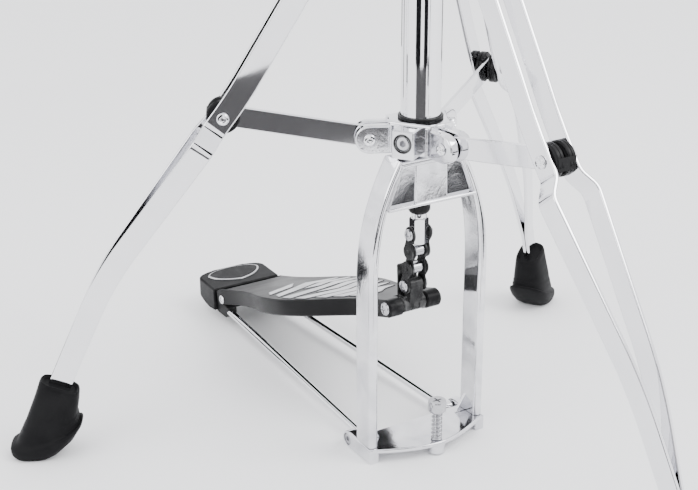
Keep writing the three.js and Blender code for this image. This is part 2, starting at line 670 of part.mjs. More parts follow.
function upperCollar() {
  const [low, high] = UPPER_COLLAR_Z;
  const core = ring(TUBE_R + GAP, 18.2, low, high, 24);
  const [pivotR, pivotZ] = LEG_PIVOT;
  const lugHalf = STRAP_HALF_GAP - STRAP_T / 2 - GAP;
  const lugs = [];
  for (const azimuth of LEG_AZIMUTHS) {
    const lug = slabXZ(stadium([16, pivotZ], [pivotR, pivotZ], 8), 2 * lugHalf, 0.6, 3);
    lugs.push(cut(lug, rodZ(TUBE_R + GAP, low - 5, high + 5, 0, 0, 24)).rotateZ(toAngle(azimuth)));
  }
  const boss = rodX(7.5, 15, 25, 0, 370.5, 20).rotateZ(toAngle(BOSS_AZIMUTH));
  const rivets = LEG_AZIMUTHS.map((azimuth) => {
    const reach = STRAP_HALF_GAP + STRAP_T / 2 + GAP;
    const shank = rodY(RIVET_R, -reach - 0.5, reach + 0.5, pivotR, pivotZ, 12);
    const head = rodY(4, reach, reach + 1.6, pivotR, pivotZ, 14);
    const heads = [head, head.clone().rotateX(Math.PI).translate(0, 0, 2 * pivotZ)];
    return join(shank, ...heads).rotateZ(toAngle(azimuth));
  });
  const boltHole = rodX(3 + GAP, 5, 40, 0, 370.5, 14).rotateZ(toAngle(BOSS_AZIMUTH));
  return cut(join(core, ...lugs, boss, ...rivets), boltHole, rodZ(TUBE_R + GAP, low - 5, high + 5, 0, 0, 24));
}

piece("upper_collar", upperCollar(), castChrome);
const collarBolt = wingBolt(3, 11.5, 44).translate(25 + GAP, 0, 370.5).rotateZ(toAngle(BOSS_AZIMUTH));
piece("collar_wing_bolt", collarBolt, chrome);

// ---------------------------------------------------------------- legs

const [BELLY_Z, JOGGLE_Z, MEET_Z] = [215.5, 224, 74]; // heights where a strap changes direction

// Points down the middle of one strap, as [r, z], rounded where it bends in its own plane.
function strapLine() {
  const [top, elbow, knee, end] = [LEG_PIVOT, LEG_ELBOW, LEG_KNEE, LEG_END].map(
    ([r, z]) => new THREE.Vector2(r, z),
  );
  const line = new THREE.CurvePath();
  let from = top;
  for (const [corner, next, reach] of [[elbow, knee, 14], [knee, end, 26]]) {
    const before = corner.clone().lerp(from, reach / corner.distanceTo(from));
    const after = corner.clone().lerp(next, reach / corner.distanceTo(next));
    line.add(new THREE.LineCurve(from, before));
    line.add(new THREE.QuadraticBezierCurve(before, corner, after));
    from = after;
  }
  line.add(new THREE.LineCurve(from, end));
  return line;
}

// How far a strap stands out from the leg's plane where its middle line is at a height.
function strapOffset(z) {
  if (z > JOGGLE_Z) return STRAP_HALF_GAP;
  if (z > BELLY_Z) {
    const t = (JOGGLE_Z - z) / (JOGGLE_Z - BELLY_Z);
    return STRAP_HALF_GAP + (STRAP_BELLY - STRAP_HALF_GAP) * t;
  }
  const t = Math.min(1, (BELLY_Z - z) / (BELLY_Z - MEET_Z));
  return STRAP_BELLY + (STRAP_CLOSED - STRAP_BELLY) * t;
}

// A flat bar bent along the strap's line: a box whose rows follow the line.
function strap(side) {
  const line = strapLine();
  const lengths = line.getCurveLengths();
  const total = lengths.at(-1);
  const rowsAt = [0, 0.012];
  for (const [bend, steps] of [[1, 2], [3, 5]]) {
    const [start, stop] = [lengths[bend - 1] / total, lengths[bend] / total];
    for (let i = 0; i <= steps; i += 1) rowsAt.push(start + ((stop - start) * i) / steps);
  }
  const heights = [JOGGLE_Z + 1, JOGGLE_Z - 1, BELLY_Z + 1, BELLY_Z - 1, MEET_Z + 2, MEET_Z - 2];
  for (const z of heights) {
    let [a, b] = [0, 1];
    for (let i = 0; i < 30; i += 1) {
      const middle = (a + b) / 2;
      if (line.getPointAt(middle).y > z) a = middle;
      else b = middle;
    }
    rowsAt.push(a);
  }
  rowsAt.push(1);
  rowsAt.sort((a, b) => a - b);
  const bar = new THREE.BoxGeometry(STRAP_W, STRAP_T, 1, 4, 1, rowsAt.length - 1);
  const place = bar.attributes.position;
  for (let i = 0; i < place.count; i += 1) {
    const across = place.getX(i);
    const row = Math.round((0.5 - place.getZ(i)) * (rowsAt.length - 1));
    const at = line.getPointAt(rowsAt[row]);
    const down = line.getTangentAt(rowsAt[row]);
    const roundEnd = row === 0 ? -Math.sqrt((STRAP_W / 2) ** 2 - across ** 2) : 0;
    const z = at.y + down.y * roundEnd + down.x * across;
    const r = at.x + down.x * roundEnd - down.y * across;
    place.setXYZ(i, r, side * strapOffset(at.y) + place.getY(i), z);
  }
  const [pivotR, pivotZ] = LEG_PIVOT;
  const [rivetR, rivetZ] = LEG_RIVET;
  return cut(
    bar,
    rodY(RIVET_R + GAP, -30, 30, pivotR, pivotZ, 14),
    rodY(RIVET_R + GAP, -30, 30, rivetR, rivetZ, 14),
  );
}

// One nylon piece: a disc on each side of the strut, bridged past the strut's end.
function spacer() {
  const inner = STRUT_T / 2 + GAP;
  const outer = STRAP_HALF_GAP - STRAP_T / 2 - GAP;
  const [r, z] = LEG_RIVET;
  const discs = [-1, 1].map((side) => {
    const [a, b] = [side * inner, side * outer].sort((m, n) => m - n);
    return rodY(SPACER_R, a, b, r, z, 18);
  });
  const bridge = box(r + 10, r + SPACER_R - 0.2, -outer, outer, z - 4, z + 4);
  return cut(join(...discs, bridge), rodY(RIVET_R + GAP, -20, 20, r, z, 14));
}

function legRivet() {
  const reach = STRAP_HALF_GAP + STRAP_T / 2 + GAP;
  const [r, z] = LEG_RIVET;
  const dome = (side) =>
    turned([[0, 0], [RIVET_HEAD_R, 0], [RIVET_HEAD_R - 0.5, 1], [RIVET_HEAD_R - 2.2, 1.7], [0, 1.7]], 18)
      .rotateX(side * -Math.PI / 2)
      .translate(r, side * reach, z);
  return join(rodY(RIVET_R, -reach - 0.5, reach + 0.5, r, z, 14), dome(1), dome(-1));
}

// A tapered rubber boot: a cylinder squared off, leaned along the leg, its lip curling up at the inner end.
const FOOT_TOP_Z = 55.5;

function foot() {
  const sections = [
    { z: 0, centre: 258.5, halfR: 11.5, halfT: 13, curl: 0 },
    { z: 1.2, centre: 256, halfR: 16, halfT: 15, curl: 3 },
    { z: 4.6, centre: 249.6, halfR: 24.6, halfT: 16.2, curl: 17.5 },
    { z: 8.6, centre: 249.4, halfR: 24.3, halfT: 16, curl: 16 },
    { z: 10, centre: 248.6, halfR: 21.6, halfT: 14.6, curl: 14 },
    { z: 27, centre: 244.8, halfR: 17, halfT: 12.8, curl: 4 },
    { z: FOOT_TOP_Z - 2, centre: 238.4, halfR: 12.8, halfT: 10.2, curl: -8.5 },
    { z: FOOT_TOP_Z, centre: 238, halfR: 11.4, halfT: 8.8, curl: -8.5 },
  ];
  const last = sections.length - 1;
  const boot = new THREE.CylinderGeometry(1, 1, 1, 20, last).rotateX(Math.PI / 2);
  const place = boot.attributes.position;
  const squared = (v) => Math.sign(v) * Math.abs(v) ** 0.62;
  for (let i = 0; i < place.count; i += 1) {
    const { z, centre, halfR, halfT, curl } = sections[Math.round((place.getZ(i) + 0.5) * last)];
    const across = squared(place.getX(i));
    const inward = (1 - across) / 2;
    const rise = z > FOOT_TOP_Z / 2 ? curl * inward : curl * inward ** 2;
    place.setXYZ(i, centre + across * halfR, squared(place.getY(i)) * halfT, z + rise);
  }
  const slotHalf = STRAP_CLOSED + STRAP_T / 2 + GAP;
  const [endR, endZ] = LEG_END;
  const [kneeR, kneeZ] = LEG_KNEE;
  const tilt = Math.atan2(endR - kneeR, kneeZ - endZ);
  const slot = new THREE.BoxGeometry(STRAP_W + 2 * GAP, 2 * slotHalf, 60)
    .translate(0, 0, 30 - GAP)
    .rotateY(-tilt)
    .translate(endR, 0, endZ);
  return cut(boot, slot);
}

function strut() {
  const bar = slabXZ(stadium(STRUT_PIVOT, LEG_RIVET, STRUT_W / 2), STRUT_T, 0.3, 4);
  const eye = rodY(STRUT_EYE_R, -STRUT_T / 2, STRUT_T / 2, ...LEG_RIVET, 24);
  return cut(
    join(bar, eye),
    rodY(RIVET_R + GAP, -20, 20, ...STRUT_PIVOT, 14),
    rodY(RIVET_R + GAP + FOLD_PLAY, -20, 20, ...LEG_RIVET, 20),
  );
}

function pivotRivet() {
  const reach = EAR_HALF_W + GAP;
  const [r, z] = STRUT_PIVOT;
  const head = (side) => {
    const [a, b] = [side * reach, side * (reach + 1.5)].sort((m, n) => m - n);
    return rodY(RIVET_HEAD_R, a, b, r, z, 18);
  };
  return join(rodY(RIVET_R, -reach - 0.5, reach + 0.5, r, z, 14), head(1), head(-1));
}

for (const [i, azimuth] of LEG_AZIMUTHS.entries()) {
  const leg = new THREE.Group();
  leg.rotation.z = toAngle(azimuth);
  stand.add(leg);
  const n = i + 1;
  piece(`leg_${n}_strap_a`, strap(1), chrome, leg);
  piece(`leg_${n}_strap_b`, strap(-1), chrome, leg);
  piece(`leg_${n}_spacer`, spacer(), blackPlastic, leg);
  piece(`leg_${n}_rivet`, legRivet(), chrome, leg);
  piece(`leg_${n}_foot`, foot(), rubber, leg);
  piece(`leg_${n}_strut`, strut(), chrome, leg);
  piece(`leg_${n}_pivot_rivet`, pivotRivet(), chrome, leg);
}

// ---------------------------------------------------------------- height clamp and upper tube

const CLAMP_Z = [446, 480];

function heightClamp() {
  const [low, high] = CLAMP_Z;
  const body = turned([
    [UPPER_TUBE_R + GAP, TUBE_TOP_Z + GAP],
    [UPPER_TUBE_R + GAP, high],
    [15, high],
    [18, high - 3],
    [18, low + 3],
    [16.5, low],
    [TUBE_R + GAP, low],
    [TUBE_R + GAP, TUBE_TOP_Z + GAP],
    [UPPER_TUBE_R + GAP, TUBE_TOP_Z + GAP],
  ].reverse(), 24);
  const boss = rodX(8, 11, 27, 0, 475, 20).rotateZ(toAngle(BOSS_AZIMUTH));
  const bore = rodZ(UPPER_TUBE_R + GAP, TUBE_TOP_Z + 0.2, high + 5, 0, 0, 24);
  const lower = rodZ(TUBE_R + GAP, low - 5, TUBE_TOP_Z + GAP, 0, 0, 24);
  const boltHole = rodX(3 + GAP, 5, 40, 0, 475, 14).rotateZ(toAngle(BOSS_AZIMUTH));
  return cut(join(body, boss), bore, lower, boltHole);
}

piece("height_clamp", heightClamp(), castChrome);
const heightBolt = wingBolt(3, 16.4, 48).translate(27 + GAP, 0, 475).rotateZ(toAngle(BOSS_AZIMUTH));
piece("height_wing_bolt", heightBolt, chrome);
piece(
  "upper_tube",
  join(
    ring(UPPER_TUBE_R - 1.5, UPPER_TUBE_R, ...UPPER_TUBE_Z, 24),
    ring(ROD_R + 1, UPPER_TUBE_R - 1, UPPER_TUBE_Z[1] - 6, UPPER_TUBE_Z[1], 24),
  ),
  chrome,
);

// ---------------------------------------------------------------- lower cymbal seat with its tilt screw

const SEAT_Z = 704; // upper face of the seat's cup
const SEAT_PIVOT_Z = 697;

piece(
  "seat_cup",
  cut(
    join(
      turned([
        [6.4, SEAT_Z - 4],
        [9, SEAT_Z - 4],
        [23, SEAT_Z - 2],
        [24, SEAT_Z],
        [23, SEAT_Z + 2],
        [19, SEAT_Z],
        [6.4, SEAT_Z],
        [6.4, SEAT_Z - 4],
      ], 24),
      ring(11, 13.4, SEAT_PIVOT_Z - 13, SEAT_Z - 2, 24),
      rodX(5, 11.4, 20, 0, SEAT_PIVOT_Z - 6, 18),
    ),
    rodX(2 + GAP, 5, 30, 0, SEAT_PIVOT_Z - 6, 12),
  ),
  castChrome,
);
piece("seat_felt", ring(6.6, 17, SEAT_Z + GAP, SEAT_Z + 6.5, 24), felt);
const tiltScrew = join(rodX(2, 10.4, 21, 0, 0, 12), rodX(6, 20 + GAP, 26, 0, 0, 20));
piece("tilt_screw", tiltScrew.translate(0, 0, SEAT_PIVOT_Z - 6), chrome);

// ---------------------------------------------------------------- clutch for the upper cymbal

const CLUTCH_Z = 748; // the clutch's lower end, clear of the seat when the rod is pulled down

piece(
  "clutch_body",
  cut(
    join(
      turned([
        [0, CLUTCH_Z],
        [9, CLUTCH_Z],
        [9, CLUTCH_Z + 5],
        [5.5, CLUTCH_Z + 5],
        [5.5, CLUTCH_Z + 34],
        [11, CLUTCH_Z + 34],
        [11, CLUTCH_Z + 40],
        [8, CLUTCH_Z + 41],
        [8, CLUTCH_Z + 62],
        [0, CLUTCH_Z + 62],
      ], 20),
      rodX(5, 5, 13, 0, CLUTCH_Z + 53, 18),
    ),
    rodZ(ROD_R + GAP, CLUTCH_Z - 5, CLUTCH_Z + 70, 0, 0, 20),
    rodX(2.5 + GAP, 0, 20, 0, CLUTCH_Z + 53, 12),
  ),
  chrome,
);
// The clutch's two felts are stuck together at their middle while no cymbal is between them.
const feltLow = CLUTCH_Z + 5 + GAP;
const feltHigh = CLUTCH_Z + 34 - GAP;
const feltMiddle = (feltLow + feltHigh) / 2;
piece(
  "clutch_felts",
  turned([
    [5.5 + GAP, feltLow],
    [14, feltLow],
    [15, feltLow + 1],
    [15, feltMiddle - 2],
    [11, feltMiddle - 0.5],
    [11, feltMiddle + 0.5],
    [15, feltMiddle + 2],
    [15, feltHigh - 1],
    [14, feltHigh],
    [5.5 + GAP, feltHigh],
    [5.5 + GAP, feltLow],
  ], 20),
  felt,
);
piece("clutch_wing_screw", wingBolt(2.5, 9, 34).translate(13 + GAP, 0, CLUTCH_Z + 53), chrome);

export default stand;
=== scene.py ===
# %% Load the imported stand
import math

import bmesh
import bpy
from mathutils import Matrix, Vector


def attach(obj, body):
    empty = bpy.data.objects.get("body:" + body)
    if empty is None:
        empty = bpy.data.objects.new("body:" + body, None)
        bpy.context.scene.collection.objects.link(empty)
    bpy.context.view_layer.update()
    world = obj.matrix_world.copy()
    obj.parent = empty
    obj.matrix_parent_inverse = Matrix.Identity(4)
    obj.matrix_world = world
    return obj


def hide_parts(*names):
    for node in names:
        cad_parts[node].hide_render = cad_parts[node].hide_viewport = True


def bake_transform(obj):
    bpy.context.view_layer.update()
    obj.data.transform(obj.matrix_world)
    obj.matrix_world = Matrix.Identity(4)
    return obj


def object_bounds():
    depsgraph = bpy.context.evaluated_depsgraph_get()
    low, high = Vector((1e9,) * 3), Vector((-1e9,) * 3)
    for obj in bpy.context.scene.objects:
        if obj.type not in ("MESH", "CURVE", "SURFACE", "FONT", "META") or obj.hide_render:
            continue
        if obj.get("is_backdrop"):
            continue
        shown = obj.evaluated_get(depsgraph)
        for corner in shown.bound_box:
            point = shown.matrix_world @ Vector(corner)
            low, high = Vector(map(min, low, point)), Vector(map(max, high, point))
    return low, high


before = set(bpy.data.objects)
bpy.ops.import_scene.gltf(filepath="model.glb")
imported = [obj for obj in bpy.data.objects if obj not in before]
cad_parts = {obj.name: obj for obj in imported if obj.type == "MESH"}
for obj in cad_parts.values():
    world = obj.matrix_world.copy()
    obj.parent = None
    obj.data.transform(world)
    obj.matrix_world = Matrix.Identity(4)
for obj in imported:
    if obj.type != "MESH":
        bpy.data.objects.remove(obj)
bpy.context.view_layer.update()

scene = bpy.context.scene

# %% [markdown]
# # A hi-hat stand with its pedal
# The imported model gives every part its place, size and joint. Here each part that shows is
# modelled again with the bends and rounded edges that pressing, casting and turning leave.
# Drum hardware is drawn in millimetres, so these shapes are too; they shrink to metres last.

# %% Units and small helpers
MM = 0.001
UP = Vector((0, 0, 1))


def link(name, mesh):
    obj = bpy.data.objects.new(name, mesh)
    scene.collection.objects.link(obj)
    return obj


def as_object(name, bm):
    """Turns a finished bmesh into an object, welded and facing outwards."""
    bmesh.ops.remove_doubles(bm, verts=bm.verts, dist=0.0005)
    bmesh.ops.recalc_face_normals(bm, faces=bm.faces)
    mesh = bpy.data.meshes.new(name)
    bm.to_mesh(mesh)
    bm.free()
    return link(name, mesh)


def settle(obj):
    """Applies the modifiers of an object to its mesh."""
    depsgraph = bpy.context.evaluated_depsgraph_get()
    settled = bpy.data.meshes.new_from_object(obj.evaluated_get(depsgraph))
    obj.modifiers.clear()
    obj.data = settled
    return obj


def weld(name, solids, cuts=(), within=()):
    """Adds solids together, takes others away and keeps what lies within others."""
    obj = as_object(name, solids[0])
    for operation, tools in (("UNION", solids[1:]), ("DIFFERENCE", cuts), ("INTERSECT", within)):
        for shape in tools:
            tool = as_object("tool", shape)
            step = obj.modifiers.new("solid", "BOOLEAN")
            step.operation, step.solver, step.object = operation, "EXACT", tool
            settle(obj)
            bpy.data.objects.remove(tool)
    return obj


def make(name, bm, body, slot, part, look=None, **edges):
    """A shape drawn as a bmesh, made an object and put in place."""
    return place(as_object(name, bm), body, slot, [part], look, **edges)


def place(obj, body, slot, nodes, look=None, edge=0.0, steps=3, angle=32):
    """Shrinks a piece to metres, rounds its edges, gives it its finish and its body."""
    obj.data.transform(Matrix.Scale(MM, 4))
    obj.data.shade_smooth()
    obj.data.set_sharp_from_angle(angle=math.radians(angle))
    if edge:
        obj.data.shade_smooth()
        round_over = obj.modifiers.new("rounded edges", "BEVEL")
        round_over.width = edge * MM
        round_over.segments = steps
        round_over.limit_method = "ANGLE"
        round_over.angle_limit = math.radians(angle)
        round_over.use_clamp_overlap = False
    even = obj.modifiers.new("even shading", "WEIGHTED_NORMAL")
    even.keep_sharp = True
    obj.data.materials.clear()
    obj.data.materials.append(FINISHES[look or slot])
    if body:
        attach(obj, body)
    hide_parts(*nodes)
    return obj


# %% [markdown]
# ## Shapes to build with
# Nearly all of the stand is round bar, turned parts, flat bar and plate cut to an outline. One
# helper makes each with bmesh operators, which keeps the cells below short.


# %% Bars, blocks, turned parts and plates
def aimed(at, axis):
    """The matrix that stands a shape drawn along Z at a point, along an axis."""
    return Matrix.Translation(at) @ Vector(axis).to_track_quat("Z", "Y").to_matrix().to_4x4()


def spun(azimuth):
    return Matrix.Rotation(math.radians(azimuth), 4, "Z")


def prism(sides, radius, height, top=None):
    bm = bmesh.new()
    bmesh.ops.create_cone(
        bm, cap_ends=True, segments=sides, radius1=radius, radius2=top or radius, depth=height
    )
    return bm


def round_bar(radius, start, end, sides=48):
    start, end = Vector(start), Vector(end)
    bm = prism(sides, radius, (end - start).length)
    bm.transform(aimed((start + end) / 2, end - start))
    return bm


def skin(rings):
    """A closed surface over rows of points, each row a ring, with a flat face at each end."""
    bm = bmesh.new()
    rows = [[bm.verts.new(p) for p in ring] for ring in rings]
    for a, b in zip(rows, rows[1:]):
        for i in range(len(a)):
            bm.faces.new((a[i], a[i - 1], b[i - 1], b[i]))
    bm.faces.new(rows[0])
    bm.faces.new(rows[-1])
    return bm


def block(low, high):
    low, high = Vector(low), Vector(high)
    bm = bmesh.new()
    bmesh.ops.create_cube(bm, size=1)
    bmesh.ops.scale(bm, vec=high - low, verts=bm.verts)
    bmesh.ops.translate(bm, vec=(low + high) / 2, verts=bm.verts)
    return bm


def crossed_slots(first, second, first_low, second_low, high):
    """The two cuts of a cross slot, each given by its half sizes and its floor."""
    cuts = ((first, first_low), (second, second_low))
    return [block((-a, -b, low), (a, b, high)) for (a, b), low in cuts]


def turned(profile, sides=64, at=(0, 0, 0), axis=UP):
    """Spins a profile of (radius, height) points round an axis, as on a lathe."""
    bm = bmesh.new()
    rim = [bm.verts.new((r, 0, z)) for r, z in profile]
    edges = [bm.edges.new(pair) for pair in zip(rim, rim[1:])]
    bmesh.ops.spin(
        bm, geom=rim + edges, cent=(0, 0, 0), axis=(0, 0, 1),
        angle=2 * math.pi, steps=sides, use_merge=True, use_duplicate=False,
    )
    bmesh.ops.remove_doubles(bm, verts=bm.verts, dist=0.0005)
    bmesh.ops.recalc_face_normals(bm, faces=bm.faces)
    bm.transform(aimed(at, axis))
    return bm


def chamfered(radius, low, high, edge=0.5, bore=0.0):
    """The profile of a cylinder or ring with its corners taken off."""
    inner = bore + edge if bore else 0
    profile = [(inner, low), (radius - edge, low), (radius, low + edge)]
    profile += [(radius, high - edge), (radius - edge, high), (inner, high)]
    if bore:
        profile += [(bore, high - edge), (bore, low + edge), (inner, low)]
    return profile


FACING = {
    "XY": Matrix.Identity(4),
    "XZ": Matrix(((1, 0, 0, 0), (0, 0, -1, 0), (0, 1, 0, 0), (0, 0, 0, 1))),
    "YZ": Matrix(((0, 0, 1, 0), (1, 0, 0, 0), (0, 1, 0, 0), (0, 0, 0, 1))),
}


def plate(outline, thickness, facing="XY", edge=0.0, steps=3):
    """A plate cut to an outline, centred on its plane, with its two rims rounded over."""
    bm = bmesh.new()
    face = bm.faces.new([bm.verts.new((a, b, -thickness / 2)) for a, b in outline])
    grown = bmesh.ops.extrude_face_region(bm, geom=[face])
    raised = [v for v in grown["geom"] if isinstance(v, bmesh.types.BMVert)]
    bmesh.ops.translate(bm, vec=(0, 0, thickness), verts=raised)
    bmesh.ops.recalc_face_normals(bm, faces=bm.faces)
    if edge:
        rims = [e for e in bm.edges if abs(e.verts[0].co.z - e.verts[1].co.z) < 1e-6]
        bmesh.ops.bevel(
            bm, geom=rims, offset=edge, offset_type="OFFSET", segments=steps,
            profile=0.5, affect="EDGES", material=-1, clamp_overlap=True,
        )
    bm.transform(FACING[facing])
    return bm


def moved(bm, offset=(0, 0, 0), turn=0.0):
    """Turns a shape about the tube's axis and shifts it."""
    bm.transform(spun(turn) @ Matrix.Translation(offset))
    return bm


def joined(*shapes):
    """Several separate solids in one bmesh. An object's mesh is taken over as well."""
    whole = bmesh.new()
    for shape in shapes:
        if isinstance(shape, bpy.types.Object):
            whole.from_mesh(shape.data)
            bpy.data.objects.remove(shape)
            continue
        mesh = bpy.data.meshes.new("part")
        shape.to_mesh(mesh)
        shape.free()
        whole.from_mesh(mesh)
        bpy.data.meshes.remove(mesh)
    return whole


# %% [markdown]
# Outlines mix straight runs, arcs and Bezier curves. These helpers return points to string
# together, and a bar with two round ends is common enough to have its own.


# %% Outline helpers
def arc(centre, radius, start, end, count=12):
    angles = [math.radians(start + (end - start) * i / count) for i in range(count + 1)]
    return [(centre[0] + radius * math.cos(a), centre[1] + radius * math.sin(a)) for a in angles]


def curve(a, b, c, d, count=12):
    """Points along a Bezier curve after its first point."""
    points = []
    for i in range(1, count + 1):
        t = i / count
        w = ((1 - t) ** 3, 3 * t * (1 - t) ** 2, 3 * t * t * (1 - t), t**3)
        points.append(tuple(sum(k * p[n] for k, p in zip(w, (a, b, c, d))) for n in (0, 1)))
    return points


def round_ended(start, end, radius, count=16):
    angle = math.degrees(math.atan2(end[1] - start[1], end[0] - start[0]))
    return arc(start, radius, angle + 90, angle + 270, count) + arc(end, radius, angle - 90, angle + 90,
        count)


def mirrored(points):
    """A half outline listed from the middle outwards, closed by its mirror image in x."""
    return points + [(-a, b) for a, b in reversed(points) if a > 1e-6]


print("helpers ready")

# %% [markdown]
# ## Finishes
# Polished chrome is a mirror with a trace of haze. Cast parts wear the same plating over
# slightly wavy metal, so their reflections wobble. The pedal is powder coated, with a fine grain
# and bare metal where an edge has rubbed. The effects recur, so each is a node group.


# %% Node groups
def new_group(name, inputs, outputs):
    group = bpy.data.node_groups.new(name, "ShaderNodeTree")
    for label, kind, value in inputs:
        socket = group.interface.new_socket(name=label, in_out="INPUT", socket_type=kind)
        if value is not None:
            socket.default_value = value
    for label, kind in outputs:
        group.interface.new_socket(name=label, in_out="OUTPUT", socket_type=kind)
    return group, group.nodes.new("NodeGroupInput"), group.nodes.new("NodeGroupOutput")


def node(tree, kind, **settings):
    made = tree.nodes.new(kind)
    for label, value in settings.items():
        setattr(made, label, value)
    return made


def arithmetic(tree, operation, first, second):
    step = node(tree, "ShaderNodeMath", operation=operation)
    for socket, value in zip(step.inputs, (first, second)):
        if isinstance(value, (int, float)):
            socket.default_value = value
        else:
            tree.links.new(value, socket)
    return step.outputs[0]


def spread(tree, value, low, high, to_low, to_high):
    """Maps a value from one range to another, held at both ends."""
    step = node(tree, "ShaderNodeMapRange", clamp=True)
    tree.links.new(value, step.inputs["Value"])
    for label, number in (("From Min", low), ("From Max", high), ("To Min", to_low), ("To Max", to_high)):
        if isinstance(number, (int, float)):
            step.inputs[label].default_value = number
        else:
            tree.links.new(number, step.inputs[label])
    return step.outputs["Result"]


def make_surface_marks():
    """Haze, wiping marks and grain: an uneven roughness and a height for a bump."""
    group, given, result = new_group(
        "surface marks",
        [
            ("Coordinates", "NodeSocketVector", None),
            ("Haze Scale", "NodeSocketFloat", 30.0),
            ("Grain Scale", "NodeSocketFloat", 900.0),
            ("Smooth", "NodeSocketFloat", 0.05),
            ("Dull", "NodeSocketFloat", 0.12),
            ("Grain Share", "NodeSocketFloat", 0.5),
        ],
        [("Roughness", "NodeSocketFloat"), ("Height", "NodeSocketFloat"), ("Haze", "NodeSocketFloat")],
    )
    haze = node(group, "ShaderNodeTexNoise")
    haze.inputs["Detail"].default_value = 5
    haze.inputs["Distortion"].default_value = 0.6
    grain = node(group, "ShaderNodeTexNoise")
    grain.inputs["Detail"].default_value = 3
    for texture, scale in ((haze, "Haze Scale"), (grain, "Grain Scale")):
        group.links.new(given.outputs["Coordinates"], texture.inputs["Vector"])
        group.links.new(given.outputs[scale], texture.inputs["Scale"])
    cloud = spread(group, haze.outputs["Fac"], 0.35, 0.7, 0.0, 1.0)
    rough = spread(group, cloud, 0.0, 1.0, given.outputs["Smooth"], given.outputs["Dull"])
    fine = arithmetic(group, "MULTIPLY", grain.outputs["Fac"], given.outputs["Grain Share"])
    broad = arithmetic(group, "SUBTRACT", 1.0, given.outputs["Grain Share"])
    broad = arithmetic(group, "MULTIPLY", haze.outputs["Fac"], broad)
    group.links.new(rough, result.inputs["Roughness"])
    group.links.new(arithmetic(group, "ADD", fine, broad), result.inputs["Height"])
    group.links.new(cloud, result.inputs["Haze"])
    return group


def make_edge_wear():
    """A mask that is white along worn convex edges, broken up by noise."""
    group, given, result = new_group(
        "edge wear",
        [
            ("Coordinates", "NodeSocketVector", None),
            ("Breakup Scale", "NodeSocketFloat", 160.0),
            ("Amount", "NodeSocketFloat", 0.5),
        ],
        [("Mask", "NodeSocketFloat")],
    )
    shape = node(group, "ShaderNodeNewGeometry")
    patches = node(group, "ShaderNodeTexNoise")
    patches.inputs["Detail"].default_value = 6
    group.links.new(given.outputs["Coordinates"], patches.inputs["Vector"])
    group.links.new(given.outputs["Breakup Scale"], patches.inputs["Scale"])
    edges = spread(group, shape.outputs["Pointiness"], 0.52, 0.6, 0.0, 1.0)
    broken = spread(group, patches.outputs["Fac"], 0.45, 0.62, 0.0, 1.0)
    mask = arithmetic(group, "MULTIPLY", edges, broken)
    group.links.new(arithmetic(group, "MULTIPLY", mask, given.outputs["Amount"]), result.inputs["Mask"])
    return group


SURFACE_MARKS = make_surface_marks()
EDGE_WEAR = make_edge_wear()
print("node groups:", SURFACE_MARKS.name, "and", EDGE_WEAR.name)


# %% [markdown]
# A finish is one principled shader, the marks group on Object coordinates, and a bump. Options
# add wear on edges, or stretch the coordinates until grain becomes the lines of brushing.


# %% The finishes
def finish(
    name, colour, drift, metallic, marks, bump, distance=0.0004,
    wear=0.0, worn=(0.55, 0.55, 0.56), stretch=(1, 1, 1), shine=0.5, sheen=0.0,
):
    made = bpy.data.materials.new(name)
    made.use_nodes = True
    tree = made.node_tree
    tree.nodes.clear()
    shader = node(tree, "ShaderNodeBsdfPrincipled")
    out = node(tree, "ShaderNodeOutputMaterial")
    tree.links.new(shader.outputs[0], out.inputs["Surface"])
    place_on = node(tree, "ShaderNodeTexCoord")
    mapping = node(tree, "ShaderNodeMapping")
    mapping.inputs["Scale"].default_value = stretch
    tree.links.new(place_on.outputs["Object"], mapping.inputs["Vector"])
    surface = node(tree, "ShaderNodeGroup", node_tree=SURFACE_MARKS)
    tree.links.new(mapping.outputs[0], surface.inputs["Coordinates"])
    for label, value in zip(("Haze Scale", "Grain Scale", "Smooth", "Dull", "Grain Share"), marks):
        surface.inputs[label].default_value = value
    tint = node(tree, "ShaderNodeMix", data_type="RGBA")
    tint.inputs["A"].default_value = (*colour, 1)
    tint.inputs["B"].default_value = (*drift, 1)
    tree.links.new(surface.outputs["Haze"], tint.inputs["Factor"])
    colour_out, rough_out = tint.outputs["Result"], surface.outputs["Roughness"]
    shader.inputs["Metallic"].default_value = metallic
    if wear:
        edge = node(tree, "ShaderNodeGroup", node_tree=EDGE_WEAR)
        edge.inputs["Amount"].default_value = wear
        tree.links.new(place_on.outputs["Object"], edge.inputs["Coordinates"])
        bare = node(tree, "ShaderNodeMix", data_type="RGBA")
        bare.inputs["B"].default_value = (*worn, 1)
        tree.links.new(edge.outputs["Mask"], bare.inputs["Factor"])
        tree.links.new(colour_out, bare.inputs["A"])
        colour_out = bare.outputs["Result"]
    tree.links.new(colour_out, shader.inputs["Base Color"])
    tree.links.new(rough_out, shader.inputs["Roughness"])
    relief = node(tree, "ShaderNodeBump")
    relief.inputs["Strength"].default_value = bump
    relief.inputs["Distance"].default_value = distance
    tree.links.new(surface.outputs["Height"], relief.inputs["Height"])
    tree.links.new(relief.outputs["Normal"], shader.inputs["Normal"])
    shader.inputs["Specular IOR Level"].default_value = shine
    shader.inputs["Sheen Weight"].default_value = sheen
    return made


